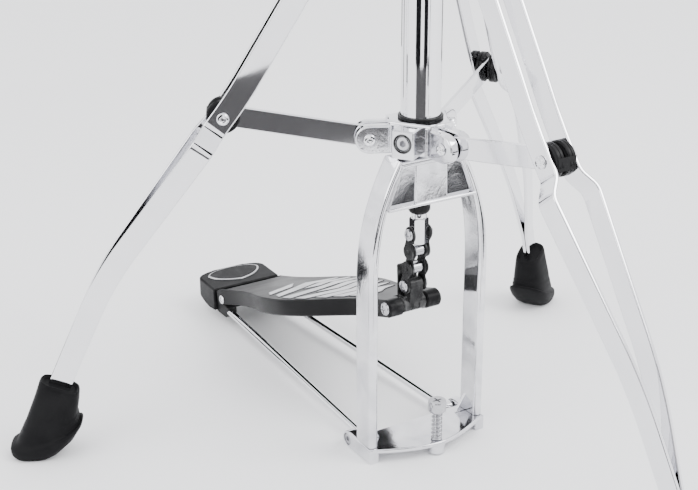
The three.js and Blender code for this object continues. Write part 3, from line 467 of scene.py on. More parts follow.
FINISHES = {
    "chrome": finish(
        "polished chrome", (0.83, 0.83, 0.85), (0.78, 0.78, 0.8), 1, (24, 700, 0.035, 0.075, 0.15), 0.02,
    ),
    "cast_chrome": finish(
        "plated casting", (0.8, 0.8, 0.82), (0.6, 0.6, 0.63), 1, (46, 500, 0.06, 0.16, 0.1), 0.15,
        distance=0.0012,
    ),
    "steel": finish(
        "bright steel", (0.52, 0.52, 0.54), (0.42, 0.42, 0.44), 1, (60, 1400, 0.2, 0.34, 0.6), 0.12,
        distance=0.0002, stretch=(1, 1, 0.15),
    ),
    "black_cast": finish(
        "black powder coat", (0.004, 0.004, 0.0045), (0.007, 0.007, 0.0075), 0,
            (30, 2600, 0.32, 0.42, 0.9), 0.2,
        distance=0.0002, wear=0.3, worn=(0.1, 0.1, 0.1), shine=0.1,
    ),
    "black_steel": finish(
        "blacked steel", (0.006, 0.006, 0.0065), (0.012, 0.012, 0.0125), 0.0,
            (90, 1800, 0.22, 0.36, 0.6), 0.12,
        distance=0.0002, wear=0.5, worn=(0.2, 0.2, 0.2), shine=0.15,
    ),
    "black_plastic": finish(
        "black nylon", (0.004, 0.004, 0.0045), (0.006, 0.006, 0.0065), 0, (50, 1500, 0.25, 0.4, 0.8), 0.1,
        distance=0.0002, shine=0.15,
    ),
    "rubber": finish(
        "boot rubber", (0.005, 0.005, 0.0055), (0.009, 0.009, 0.0095), 0, (40, 1100, 0.45, 0.65, 0.7), 0.25,
        distance=0.0004, shine=0.06,
    ),
    "felt": finish(
        "wool felt", (0.05, 0.05, 0.053), (0.1, 0.1, 0.105), 0, (260, 2200, 0.9, 1.0, 0.6), 0.9,
        distance=0.001, sheen=0.4,
    ),
    "aluminium": finish(
        "rubbed aluminium", (0.62, 0.62, 0.63), (0.5, 0.5, 0.51), 1, (80, 1600, 0.28, 0.42, 0.7), 0.2,
        distance=0.0002,
    ),
}
print("finishes:", len(bpy.data.materials))

# %% [markdown]
# ## Stage
# A white sweep, an even sky and soft lights keep chrome pale. Metal only looks like metal when
# something dark is in its reflections, so black flags stand round it, seen in mirrors alone.


# %% Floor, lights, flags and camera
def plain(name, colour, roughness, strength=0.0):
    made = bpy.data.materials.new(name)
    made.use_nodes = True
    shader = made.node_tree.nodes["Principled BSDF"]
    shader.inputs["Base Color"].default_value = (*colour, 1)
    shader.inputs["Roughness"].default_value = roughness
    shader.inputs["Specular IOR Level"].default_value = 0.15
    shader.inputs["Emission Color"].default_value = (*colour, 1)
    shader.inputs["Emission Strength"].default_value = strength
    return made


def card(name, turn, material, corners):
    """A flat card with no thickness, turned about the stand."""
    bm = bmesh.new()
    bm.faces.new([bm.verts.new(c) for c in corners])
    bm.transform(spun(turn))
    mesh = bpy.data.meshes.new(name)
    bm.to_mesh(mesh)
    bm.free()
    obj = link(name, mesh)
    obj.data.materials.append(material)
    obj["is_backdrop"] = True
    return obj


def seen_in_mirrors(obj):
    obj.visible_camera = obj.visible_diffuse = obj.visible_shadow = False


FLOOR = plain("pale floor", (0.94, 0.94, 0.945), 0.7)
FLAG = plain("black flag", (0.004, 0.004, 0.005), 1.0)
GREY_FLAG = plain("grey flag", (0.05, 0.049, 0.05), 1.0, 0.6)
card("floor", 0, FLOOR, [(-9, -9, 0), (9, -9, 0), (9, 9, 0), (-9, 9, 0)])


def flag(name, azimuth, radius, width, low, high, material=FLAG):
    """A black card standing upright, facing the tube from an azimuth."""
    half = width / 2
    corners = [(radius, -half, low), (radius, half, low), (radius, half, high), (radius, -half, high)]
    seen_in_mirrors(card(name, azimuth, material, corners))


def floor_flag(name, corners):
    seen_in_mirrors(card(name, 0, FLAG, [(x, y, 0.001) for x, y in corners]))


for label, *where in (
    ("low", 55, 0.62, 0.66, 0.015, 0.112, GREY_FLAG), ("near", 36, 0.62, 0.3, 0.112, 0.42),
    ("far", 78, 0.62, 0.24, 0.112, 0.42), ("left", -62, 0.9, 0.1, 0.0, 0.9),
    ("back", 205, 1.1, 0.3, 0.0, 0.9), ("edges", -97, 1.1, 0.34, 0.02, 0.7),
):
    flag(f"flag_{label}", *where)
floor_flag("flag_hood", [(-0.42, 0.31), (-0.16, 0.26), (-0.16, 0.44), (-0.42, 0.54)])
floor_flag("flag_upright", [(0.15, -0.2), (0.27, -0.3), (0.42, -0.52), (0.3, -0.58), (0.16, -0.4)])

world = bpy.data.worlds.new("studio")
scene.world = world
world.use_nodes = True
sky = world.node_tree
backdrop = sky.nodes["Background"]
height = node(sky, "ShaderNodeTexCoord")
split = node(sky, "ShaderNodeSeparateXYZ")
sky.links.new(height.outputs["Generated"], split.inputs[0])
shade = spread(sky, split.outputs["Z"], -0.1, 0.9, 2.6, 2.0)
sky.links.new(shade, backdrop.inputs["Strength"])
backdrop.inputs["Color"].default_value = (0.97, 0.975, 1.0, 1)


def soft_light(name, place_at, aim, size, power):
    lamp = bpy.data.lights.new(name, "AREA")
    lamp.shape = "RECTANGLE"
    lamp.size, lamp.size_y = size
    lamp.energy = power
    obj = bpy.data.objects.new(name, lamp)
    scene.collection.objects.link(obj)
    obj.location = place_at
    obj.rotation_euler = (Vector(aim) - Vector(place_at)).to_track_quat("-Z", "Y").to_euler()


soft_light("key", (-1.3, 1.5, 2.2), (0, 0, 0.2), (1.4, 1.4), 50)
soft_light("fill", (2.2, 0.2, 1.4), (0, 0, 0.25), (1.6, 1.2), 22)

lens = bpy.data.cameras.new("camera")
lens.lens, lens.sensor_width = 68.35, 36
camera = bpy.data.objects.new("camera", lens)
scene.collection.objects.link(camera)
right = Vector((-0.84948, 0.52761, -0.00452))
ahead = Vector((-0.48953, -0.79132, -0.3663))
above = right.cross(ahead)
facing = Matrix((right, above, -ahead)).transposed().to_4x4()
camera.matrix_world = Matrix.Translation((0.45997, 0.6576, 0.45752)) @ facing
scene.camera = camera
print("stage set, camera", [round(v, 3) for v in camera.location])

# %% [markdown]
# ## Base plate
# The pedal's foot is one casting: a plate with a curved front, two lugs that stand on the floor
# and take the radius rods' screws, and a boss for the spur. Plates are welded, then drilled.

# %% Base plate and its hinge screws
ROD_FOOT = (35.5, -13.3, 6.2)
ROD_HEEL = (24.3, -236, 12.1)
SPUR_Y = 24.5

bow = [(-46.2, 14.2)] + curve((-46.2, 14.2), (-31.4, 22.4), (-16, 28.9), (0, 30.2), 10)
bow += curve((0, 30.2), (16, 28.9), (31.4, 22.4), (46.2, 14.2), 10) + [(46.2, -6.2), (-46.2, -6.2)]
tread = moved(plate(bow, 3.3, "XY", edge=1.1, steps=4), (0, 0, 9.05))
lug_side = [(15.4, 0.02), (15.4, 10), (-9, 12.4)]
lug_side += curve((-9, 12.4), (-16, 12.3), (-19.6, 9.8), (-19.4, 5), 8)
lug_side += curve((-19.4, 5), (-18.9, 2.6), (-16, 0.9), (-11, 0.02), 6)
lugs = [moved(plate(lug_side, 7.4, "YZ", edge=1.2, steps=4), (side * 43.3, 0, 0)) for side in (-1, 1)]
boss = turned([(0, 0.8), (4.9, 0.8), (5.6, 1.6), (5.6, 9), (0, 9)], 40, at=(0, SPUR_Y, 0))
foot_y, foot_z = ROD_FOOT[1:]
drills = [round_bar(4.2, (side * 44.5, foot_y, foot_z), (side * 50, foot_y, foot_z), 40) for side in (-1, 1)]
drills.append(round_bar(2.8, (0, SPUR_Y, -2), (0, SPUR_Y, 20), 32))
drills.append(round_bar(2.6, (-44.6, foot_y, foot_z), (44.6, foot_y, foot_z), 32))
base = weld("base_casting", [tread, *lugs, boss], drills)
place(base, "base", "cast_chrome", ["base_plate"])


def socket_screw(name, radius, height, at, axis, key, length):
    """A round-headed screw with a hexagon socket, its head's underside at a point."""
    head = turned(
        [(0, -length), (radius * 0.55, -length), (radius * 0.55, 0), (radius, 0)]
        + [(radius, height - 0.5), (radius - 0.2, height - 0.15), (radius - 0.6, height), (0, height)], 40
    )
    screw = weld(name, [head], [moved(prism(6, key, height * 1.4), (0, 0, height))])
    screw.data.transform(aimed(at, axis))
    return screw


for name, side in (("left", 1), ("right", -1)):
    screw = socket_screw(
        f"hinge_screw_{name}", 3.9, 1.8, (side * 44.8, foot_y, foot_z), (side, 0, 0), 2.0, 12.5
    )
    place(screw, "base", "steel", [f"rod_screw_{name}"])
print("base:", len(base.data.polygons), "faces")


# %% [markdown]
# ## Yoke
# A second casting carries the tube: two uprights that curve in to a hood. They are one band with
# soft corners. The hood has a sunken face, a raised border and a block for the tube's socket.

# %% The yoke
def arch_band(outer, inner, front, back, radius, steps=5):
    """A band between two paths in x and z, its section a rectangle with rounded corners."""
    rings = []
    for (ox, oz), (ix, iz) in zip(outer, inner):
        across = Vector((ox - ix, oz - iz))
        length, across = across.length, across.normalized()
        ring = []
        for corner in range(4):
            u = length - radius if corner in (0, 1) else radius
            y = front - radius if corner in (1, 2) else back + radius
            for i in range(steps + 1):
                a = math.radians(-90 + 90 * corner + 90 * i / steps)
                w = u + radius * math.cos(a)
                ring.append((ix + across.x * w, y + radius * math.sin(a), iz + across.y * w))
        rings.append(ring)
    return skin(rings)


def arch_path(x, bends, top):
    half = [(x, z) for z in (11.0, 40, 80, 125)] + curve((x, 125), *bends, 32)
    return half + [(0, top)] + [(-a, b) for a, b in reversed(half)]


outer = arch_path(46.2, [(46.2, 160), (38, 182), (24.5, 206.6)], 206.6)
inner = arch_path(39.6, [(39.6, 158), (33.4, 181), (20.5, 201)], 201)
band = arch_band(outer, inner, 14.2, -4.4, 2.6)

hood = [(-34.2, 176), (34.2, 176), (23.6, 203), (-23.6, 203)]
face = moved(plate(hood, 3.4, "XZ", edge=0.4), (0, 10.8, 0))
lip = moved(plate([(-34.3, 8.5), (34.3, 8.5), (33.6, 15.9), (-33.6, 15.9)], 2.2, edge=1.05, steps=5),
    (0, 0, 176.1))
borders = []
for side in (-1, 1):
    slope = [(side * 34.3, 176), (side * 32.4, 176), (side * 21.9, 203.5), (side * 23.8, 203.5)]
    borders.append(moved(plate(slope, 4.6, "XZ", edge=0.7, steps=4), (0, 12.4, 0)))
brow = moved(plate([(-23.6, 8), (23.6, 8), (23.4, 14.6), (-23.4, 14.6)], 3, edge=0.9, steps=4), (0, 0, 204.6))
block_side = [(2, 176), (13.9, 176), (13.1, 203.5), (2, 203.5)]
pillar = plate(block_side, 24.8, "YZ", edge=1.2, steps=5)
socket = turned(chamfered(15.7, 175, 206.6, edge=0.9, bore=12.8), 80)
bmesh.ops.bisect_plane(
    socket, geom=socket.verts[:] + socket.edges[:] + socket.faces[:],
    plane_co=(0, 12.6, 0), plane_no=(0, 1, 0), clear_outer=True,
)
gussets = []
for side in (-1, 1):
    brace = [(side * 40, 24), (side * 31.5, 11.0), (side * 40, 11.0)]
    gussets.append(moved(plate(brace, 2, "XZ", edge=0.35), (0, 2, 0)))
yoke = as_object("yoke_casting", joined(band, face, lip, *borders, brow, pillar, socket, *gussets))
place(yoke, "base", "cast_chrome", ["yoke_frame"])
print("yoke:", len(yoke.data.polygons), "faces")


# %% [markdown]
# ## Tubes and rod
# Steel tube is ground true and plated. All that modelling has to add is a true circle and a
# small round where each saw cut was cleaned up.

# %% Lower tube, upper tube, pull rod, bushes and coupling nut
upper_tube = [(4, 684), (8, 684), (8, 410.3), (8.3, 410), (9.2, 410), (9.5, 410.3), (9.5, 689)]
upper_tube += [(8.6, 690), (4, 690), (4, 684)]
rod_bar = [(0, 153.6), (3, 153.6), (3, 262), (8.2, 262), (8.6, 262.4), (8.6, 266.6), (8.2, 267), (3, 267)]
rod_bar += [(3, 878.6), (2.7, 879.4), (2, 880), (0, 880)]
guide_bush = [(3.4, 164.9), (5.6, 164.9), (6.3, 165.4), (7.3, 167.2), (7.3, 174.7), (6.9, 174.7)]
guide_bush += [(6.9, 178.3), (10.8, 178.3), (10.8, 183.6), (10.4, 184), (3.4, 184), (3.4, 164.9)]
swivel_ring = [(13.0, 228.5), (14.2, 228.5), (14.4, 228.8), (14.4, 229.8), (14.1, 230.2)]
swivel_ring += [(13.2, 230.3), (13.0, 230.1), (13.0, 228.5)]
lower_tube = chamfered(12.7, 178, 470, edge=0.35, bore=11.2)
for name, profile, sides, body, slot, part in (
    ("tube_lower", lower_tube, 128, "base", "chrome", "lower_tube"),
    ("tube_upper", upper_tube, 96, "upper_tube", "chrome", "upper_tube"),
    ("rod_bar", rod_bar, 48, "rod", "chrome", "pull_rod"),
    ("guide_bush", guide_bush, 64, "base", "black_plastic", "tube_bushing"),
    ("swivel_ring", swivel_ring, 96, "tripod", "black_plastic", "swivel_bushing"),
):
    make(name, turned(profile, sides), body, slot, part)

hexagon = moved(prism(6, 6.35, 17.6), (0, 0, 152.7))
crowned = turned([(0, 143.9), (5.3, 143.9), (6.5, 144.8), (6.5, 160.5), (5.3, 161.5), (0, 161.5)], 64)
nut = weld("hex", [hexagon], within=[crowned])
shoulder = turned([(0, 161), (5.2, 161), (5.2, 163.8), (4.7, 164.6), (0, 164.6)], 64)
make("coupling_nut", joined(nut, as_object("shoulder", shoulder)), "rod", "chrome", "rod_nut")
print("tubes, rod, bushings and nut made")


# %% [markdown]
# ## Collar and its rivets
# The lower collar is cast round the tube: a six-sided body, a boss with a socket set screw, and
# three forked ears for the struts. Each ear is two cheeks with a gap that a core leaves.

# %% Lower collar, set screw and rivets
LEG_AZIMUTHS = (332.3, 92.3, 212.3)
BOSS_AZIMUTH, BOSS_Z = 32.3, 218
STRUT_PIVOT = Vector((32.7, 216.4))

angles = [math.radians(azimuth + t) for azimuth in LEG_AZIMUTHS for t in (-21.5, 21.5)]
corners = [(22.4 * math.cos(a), 22.4 * math.sin(a)) for a in angles]
core = moved(plate(corners, 20.9, edge=1.4, steps=4), (0, 0, 217.75))
lump = [(12, 208), (27.4, 208), (28, 209), (28, 225.4), (27, 226.2), (12, 227.2)]
boss = moved(plate(lump, 15, "XZ", edge=1.2, steps=4), turn=BOSS_AZIMUTH)
cheeks = []
for azimuth in LEG_AZIMUTHS:
    for side in (-1, 1):
        ear = plate(round_ended((14, STRUT_PIVOT.y), STRUT_PIVOT, 9.1, 20), 6.6, "XZ", edge=1.3, steps=4)
        root = plate([(14, 207.5), (21.5, 207.5), (21.5, 228), (14, 228)], 6.6, "XZ", edge=1.1, steps=4)
        cheeks += [moved(moved(part, (0, side * 5.3, 0)), turn=azimuth) for part in (ear, root)]
rib_side = [(13, 208.6), (22.6, 208.6), (22.6, 226.4), (13, 226.4)]
ribs = [moved(plate(rib_side, 1.6, "XZ", edge=0.5), turn=BOSS_AZIMUTH + t) for t in (-33, 33, 87, 153)]
whole = as_object("collar", joined(core, boss, *cheeks, *ribs))
bore = as_object("tool", round_bar(13.0, (0, 0, 200), (0, 0, 235), 96))
pocket = as_object("tool", moved(round_bar(4.7, (15.5, 0, BOSS_Z), (40, 0, BOSS_Z), 40), turn=BOSS_AZIMUTH))
for tool in (bore, pocket):
    step = whole.modifiers.new("drill", "BOOLEAN")
    step.operation, step.solver, step.object, step.use_self = "DIFFERENCE", "EXACT", tool, True
    settle(whole)
    bpy.data.objects.remove(tool)
place(whole, "tripod", "cast_chrome", ["lower_collar"])


key_screw = socket_screw("set_screw", 4.3, 5.2, (22.4, 0, BOSS_Z), (1, 0, 0), 2.3, 7)
key_screw.data.transform(spun(BOSS_AZIMUTH))
place(key_screw, "tripod", "steel", ["collar_screw"])
recess = [(4.5, 26.5), (4.75, 28.0), (5.0, 28.2), (6.1, 28.2), (6.3, 27.9), (6.3, 26.5), (4.5, 26.5)]
recess = as_object("screw_seat", turned(recess, 64, at=(0, 0, BOSS_Z), axis=(1, 0, 0)))
recess.data.transform(spun(BOSS_AZIMUTH))
place(recess, "tripod", "black_steel", ["lower_collar"])


def rivet(name, at, reach, shank, head, azimuth):
    """A rivet across a leg's plane: a shank with a ringed head on each side."""
    profile = [(0, 1.55), (1.1, 1.5), (1.5, 1.05), (1.9, 1.1), (2.3, 1.5), (head - 0.7, 1.35)]
    profile += [(head - 0.2, 0.9), (head, 0.4), (head, 0), (0, 0)]
    heads = [turned(profile, 48, at=(at[0], s * reach, at[1]), axis=(0, s, 0)) for s in (1, -1)]
    bar = round_bar(shank, (at[0], -reach - 0.2, at[1]), (at[0], reach + 0.2, at[1]), 32)
    obj = as_object(name, joined(bar, *heads))
    obj.data.transform(spun(azimuth))
    return obj


for n, azimuth in enumerate(LEG_AZIMUTHS, 1):
    pivot = rivet(f"strut_rivet_{n}", STRUT_PIVOT, 8.9, 2.5, 3.9, azimuth)
    place(pivot, "tripod", "chrome", [f"leg_{n}_pivot_rivet"])
print("collar:", len(whole.data.polygons), "faces")


# %% [markdown]
# ## Legs
# A double-braced leg is a pair of flat bars. They run parallel from the upper collar, joggle
# outwards past the nylon spacer, then close to one thickness above the boot. A bar is modelled
# the way it is bent: a rounded section carried along its centre line, with a sideways step.

# %% Straps
LEG_PIVOT, LEG_RIVET = Vector((36.9, 371.2)), Vector((123, 232.6))
LEG_ELBOW, LEG_KNEE = Vector((113.7, 245.1)), Vector((202.5, 127.2))
LEG_END = Vector((244.7, 35.7))
STRAP_W, STRAP_T = 14.7, 2.6


def strap_line():
    """Points down the middle of a strap in the leg's plane, about 2 mm apart."""
    points, start = [], LEG_PIVOT
    for bend, after, reach in ((LEG_ELBOW, LEG_KNEE, 14), (LEG_KNEE, LEG_END, 26)):
        before = bend + (start - bend).normalized() * reach
        beyond = bend + (after - bend).normalized() * reach
        count = int((before - start).length / 2)
        points += [start.lerp(before, i / count) for i in range(count)]
        for t in (i / 14 for i in range(14)):
            points.append(before * (1 - t) ** 2 + bend * 2 * t * (1 - t) + beyond * t * t)
        start = beyond
    return points + [start.lerp(LEG_END, i / 40) for i in range(41)]


def step_out(height):
    """A strap's distance from the leg's plane, its corners eased over a few millimetres."""
    def sharp(z):
        if z > 224:
            return 8.7
        if z > 215.5:
            return 8.7 + 7.9 * (224 - z) / 8.5
        return 16.6 + (1.45 - 16.6) * min(1.0, (215.5 - z) / 141.5)
    near = [sharp(height + d) for d in (-2.2, -1.3, -0.5, 0.5, 1.3, 2.2)]
    return sum(near) / len(near)


def section_points():
    """The strap's section: a flat bar with rolled edges."""
    points = []
    for cx, cy, start in ((1, 1, 0), (-1, 1, 90), (-1, -1, 180), (1, -1, 270)):
        for i in range(4):
            a = math.radians(start + 30 * i)
            middle_x, middle_y = cx * (0.5 - 0.8 / STRAP_W) * STRAP_W, cy * (STRAP_T / 2 - 0.8)
            points.append((middle_x + 0.8 * math.cos(a), middle_y + 0.8 * math.sin(a)))
    return points


def strap(name, side, azimuth):
    line = strap_line()
    first = (line[1] - line[0]).normalized()
    radius = STRAP_W / 2
    tip = [0.02, 0.1, 0.25, 0.5, 0.9, 1.5, 2.4, 3.6, 5.2, radius - 0.1]
    line = [LEG_PIVOT - first * (radius - d) for d in tip] + line
    narrow = [math.sqrt(max(0.0, radius**2 - (radius - d) ** 2)) / radius for d in tip]
    rings = []
    for i, at in enumerate(line):
        down = (line[min(i + 1, len(line) - 1)] - line[max(i - 1, 0)]).normalized()
        squeeze = narrow[i] if i < len(tip) else 1.0
        slope = (step_out(at.y + down.y) - step_out(at.y - down.y)) / 2
        tilt = 1 / math.sqrt(1 + slope * slope)
        ring = []
        for across, out in section_points():
            shift = -slope * tilt * out
            r = at.x - down.y * across * squeeze + down.x * shift
            z = at.y + down.x * across * squeeze + down.y * shift
            ring.append((r, side * (step_out(at.y) + out * tilt), z))
        rings.append(ring)
    return as_object(name, moved(skin(rings), turn=azimuth))


for n, azimuth in enumerate(LEG_AZIMUTHS, 1):
    for label, side in (("a", 1), ("b", -1)):
        bar = strap(f"bar_{n}_{label}", side, azimuth)
        place(bar, f"leg_{n}", "chrome", [f"leg_{n}_strap_{label}"], angle=50)
print("strap:", len(bar.data.polygons), "faces each")


# %% [markdown]
# ## Struts, spacers and rivets
# A strut is the same flat bar, straight, with round ends. Where it meets the leg a black nylon
# spacer fills the space between the straps, and a rivet with a ringed head holds the stack.

# %% Struts, spacers, leg rivets
DISC = [(2.8, 1.6), (9.6, 1.6), (10.4, 2.3), (10.4, 3.9), (9.9, 4.2), (10.4, 4.5), (10.4, 6.3)]
DISC += [(9.7, 7.1), (2.8, 7.1), (2.8, 1.6)]
BRIDGE = [(LEG_RIVET.x + a, LEG_RIVET.y + b) for a, b in ((9, -4), (10.2, -4), (10.2, 4), (9, 4))]
for n, azimuth in enumerate(LEG_AZIMUTHS, 1):
    flat = plate(round_ended(STRUT_PIVOT, LEG_RIVET, 6.9, 20), 2.6, "XZ", edge=0.7, steps=3)
    make(f"brace_{n}", moved(flat, turn=azimuth), f"strut_{n}", "chrome", f"leg_{n}_strut")
    discs = [turned(DISC, 64, at=(LEG_RIVET.x, 0, LEG_RIVET.y), axis=(0, s, 0)) for s in (1, -1)]
    pad = moved(joined(*discs, moved(plate(BRIDGE, 13, "XZ"))), turn=azimuth)
    make(f"nylon_{n}", pad, f"leg_{n}", "black_plastic", f"leg_{n}_spacer")
    pin = rivet(f"brace_rivet_{n}", LEG_RIVET, 10.3, 2.5, 3.9, azimuth)
    place(pin, f"leg_{n}", "chrome", [f"leg_{n}_rivet"])
print("struts, spacers and rivets made")


# %% [markdown]
# ## Rubber boots
# A boot is moulded: a squared oval that leans with the leg, on a sole whose lip curls up at the
# inner end. Its rows are worked out from a few sections, like the frames of a boat.

# %% Boots
FOOT_SECTIONS = [
    (0.0, 258.5, 11.2, 12.4, 0.0), (1.2, 256, 15.6, 14.4, 3), (2.8, 251.8, 21.4, 15.4, 11),
    (4.6, 249.5, 24.2, 16.2, 17.5),
    (6.6, 249.4, 24.4, 16.3, 17.2), (8.6, 249.3, 24.1, 16, 16), (10, 248.6, 21.8, 14.7, 14),
    (12.5, 248, 20.9, 14.4, 12.6),
    (27, 244.8, 17, 12.8, 4), (42, 240.9, 14.6, 11.3, -3.4), (53, 238.5, 12.9, 10.3, -8.4),
    (54.6, 238.1, 12.4, 9.9, -8.5),
    (55.5, 238, 11.4, 8.8, -8.5),
]


def boot(name, azimuth, around=72):
    rows = []
    for a, b in zip(FOOT_SECTIONS, FOOT_SECTIONS[1:]):
        steps = max(1, int((b[0] - a[0]) / 1.6))
        rows += [[p + (q - p) * i / steps for p, q in zip(a, b)] for i in range(steps)]
    rows.append(list(FOOT_SECTIONS[-1]))
    rings = []
    for z, centre, half_r, half_t, curl in rows:
        groove = 0.35 * max(0.0, math.sin(z * 1.1)) if 12 < z < 26 else 0.0
        ring = []
        for i in range(around):
            a = 2 * math.pi * i / around
            x, y = math.cos(a), math.sin(a)
            x, y = math.copysign(abs(x) ** 0.66, x), math.copysign(abs(y) ** 0.62, y)
            inward = (1 - x) / 2
            rise = curl * inward if z > 27 else curl * inward**2
            ring.append((centre + x * (half_r - groove), y * (half_t - groove), z + rise))
        rings.append(ring)
    bm = skin(rings)
    bm.faces.ensure_lookup_table()
    cap = bm.faces[-1]
    bmesh.ops.recalc_face_normals(bm, faces=bm.faces)
    bmesh.ops.inset_region(bm, faces=[cap], thickness=1.6, depth=0)
    bmesh.ops.translate(bm, vec=(0.6, 0, -2.2), verts=cap.verts)
    return as_object(name, moved(bm, turn=azimuth))


for n, azimuth in enumerate(LEG_AZIMUTHS, 1):
    rubber_boot = boot(f"boot_{n}", azimuth)
    place(rubber_boot, f"leg_{n}", "rubber", [f"leg_{n}_foot"], angle=55)
print("boot:", len(rubber_boot.data.polygons), "faces each")


# %% [markdown]
# ## Heel plate
# The heel end is a black casting with a rounded back that slopes under, a raised pad with a
# bright edge, and knuckles for the hinge pin. Its side view is met with its plan.

# %% Heel plate, its pad and the hinge pin
HEEL_PIN = (-235.3, 22.2)
HEEL_FRONT, HEEL_NOSE = -247.7, -283.8

side_view = [(HEEL_FRONT, 8), (HEEL_FRONT, 26.6), (HEEL_NOSE + 2, 27.9)]
side_view += curve((HEEL_NOSE + 2, 27.9), (HEEL_NOSE + 0.4, 27.6), (HEEL_NOSE, 26.5), (HEEL_NOSE, 23), 6)
side_view += curve((HEEL_NOSE, 23), (HEEL_NOSE + 1, 14), (-270, 8), (-258, 7), 16)
half_plan = [(0, HEEL_NOSE)] + curve((0, HEEL_NOSE), (14, HEEL_NOSE), (30.2, HEEL_NOSE + 2),
    (30.2, HEEL_NOSE + 11), 18)
half_plan += [(30.2, HEEL_FRONT + 0.1)]
heel_block = weld("heel_block", [plate(side_view, 80, "YZ")], within=[plate(mirrored(half_plan), 80)])
place(heel_block, "base", "black_cast", ["heel_plate"], edge=1.3, steps=4, angle=40)

tongue = plate([(-25, HEEL_FRONT - 1), (25, HEEL_FRONT - 1), (25, HEEL_PIN[0]),
    (-25, HEEL_PIN[0])], 6.2, edge=0.6)
knuckle = turned(chamfered(5.6, -25.2, 25.2, edge=0.7), 48, at=(0, *HEEL_PIN), axis=(1, 0, 0))
wedge_side = [(-251, 8), (-251, 19), (-244, 19), (-229.2, 16), (-229.2, 9), (-233, 6.6), (-246, 6.6)]
wedges = [moved(plate(wedge_side, 8.4, "YZ", edge=0.7), (side * 23.3, 0, 0)) for side in (-1, 1)]
cross_web = plate([(-27, -251), (27, -251), (27, -243.2), (-27, -243.2)], 9, edge=0.6)
carrier = joined(moved(tongue, (0, 0, 21.5)), knuckle, *wedges, moved(cross_web, (0, 0, 13)))
make("heel_carrier", carrier, "base", "black_cast", "heel_plate")

pad = [(0, HEEL_NOSE + 3.4)]
pad += curve(pad[0], (12, HEEL_NOSE + 3.6), (21, HEEL_NOSE + 6), (23.5, HEEL_NOSE + 12), 14)
pad += curve((23.5, HEEL_NOSE + 12), (22, HEEL_NOSE + 20), (13, HEEL_NOSE + 26), (0, HEEL_NOSE + 28.5), 18)


def lay_on_heel(bm, rise):
    """Lays a flat shape drawn in plan on the heel's gently sloping top."""
    for v in bm.verts:
        v.co.z += 26.6 + (HEEL_FRONT - v.co.y) * 0.0381 + rise
    return bm


inner_pad = [(a * 0.93, (b - HEEL_NOSE - 15) * 0.92 + HEEL_NOSE + 15) for a, b in pad]
rim = lay_on_heel(plate(mirrored(pad), 1.6, edge=0.6, steps=3), 0.1)
make("heel_rim", rim, "base", "steel", "heel_plate", "aluminium")
badge = lay_on_heel(plate(mirrored(inner_pad), 1.9, edge=0.4, steps=2), 0.15)
make("heel_pad", badge, "base", "black_cast", "heel_plate")

pin_end = [(0, 30), (1.2, 30), (1.6, 29.7), (2.2, 29.7), (2.6, 30), (3.2, 30), (3.6, 29.6), (3.6, 28.6),
    (0, 28.6)]
ends = [turned(pin_end, 40, at=(0, *HEEL_PIN), axis=(side, 0, 0)) for side in (-1, 1)]
hinge = joined(round_bar(2.5, (-29, *HEEL_PIN), (29, *HEEL_PIN), 32), *ends)
make("hinge_pin", hinge, "base", "chrome", "heel_pin")

for name, side in (("left", 1), ("right", -1)):
    foot = Vector((side * ROD_FOOT[0], *ROD_FOOT[1:]))
    heel = Vector((side * ROD_HEEL[0], *ROD_HEEL[1:]))
    eye = turned(chamfered(5, -2.9, 2.9, edge=0.7, bore=2.6), 48, at=foot, axis=(1, 0, 0))
    stay = joined(round_bar(2.9, foot.lerp(heel, 0.018), heel, 40), eye)
    make(f"stay_{name}", stay, "base", "chrome", f"radius_rod_{name}")
print("heel plate:", len(heel_block.data.polygons), "faces")


# %% [markdown]
# ## Footboard
# The footboard is a shallow tray cast upside down: a waisted outline with a soft rim, hollow
# below with one rib. Each prong of the forked toe ends in a round block on the toe pin. It is
# drawn flat, then leaned to its slope about the heel pin.

# %% The footboard
SLOPE = Matrix.Translation((0, *HEEL_PIN)) @ Matrix.Rotation(math.radians(18), 4, "X")
TOE_PIN = Vector((-7.1, 98.6))
toe_local = SLOPE.inverted() @ Vector((0, *TOE_PIN))
TOE_Y, TOE_Z = toe_local.y, toe_local.z


def board_outline(inset=0.0, end=None):
    """Half of the board's plan from the heel to the toe, mirrored."""
    w, e = 20.5 - inset, TOE_Y if end is None else end
    start = (30.2 - inset, -5.4 + inset * 2)
    half = [(0, start[1]), start]
    half += curve(start, (26.6 - inset, 26), (28.5 - inset, 42), (31.5 - inset, 58), 16)
    half += curve((31.5 - inset, 58), (36 - inset, 80), (41.4 - inset, 92), (40.9 - inset, 124), 20)
    half += curve((40.9 - inset, 124), (40 - inset, 160), (w + 1, 190), (w, 218), 20)
    return mirrored(half + [(w, e), (0, e)])


tray = moved(plate(board_outline(), 12.2, edge=1.7, steps=5), (0, 0, 1.9))
cutters = [
    moved(plate(board_outline(3.2, 221), 9.5, edge=0.9, steps=3), (0, 0, -0.6)),
    block((-25.6, -20, -20), (25.6, 3.4, 20)),
    block((-25.6, -20, -20), (25.6, 16, 5.6)),
    block((-9.1, TOE_Y - 7.2, -20), (9.1, TOE_Y + 20, 20)),
]
deck = weld("board_tray", [tray], cutters)
spine = as_object("spine", joined(block((-1.5, 20, -2.4), (1.5, 222, 5.6))))
prong = chamfered(6.1, 9.3, 20.5, edge=0.9)
prongs = [turned(prong, 64, at=(0, TOE_Y, 1.9), axis=(side, 0, 0)) for side in (-1, 1)]


def on_board(obj, slot, part, look=None, **edges):
    """Leans a piece drawn flat to the footboard's slope, then puts it in place."""
    obj.data.transform(SLOPE)
    return place(obj, "board", slot, [part], look, **edges)


for obj in (deck, spine, as_object("board_prongs", joined(*prongs))):
    on_board(obj, "black_cast", "footboard", angle=36)

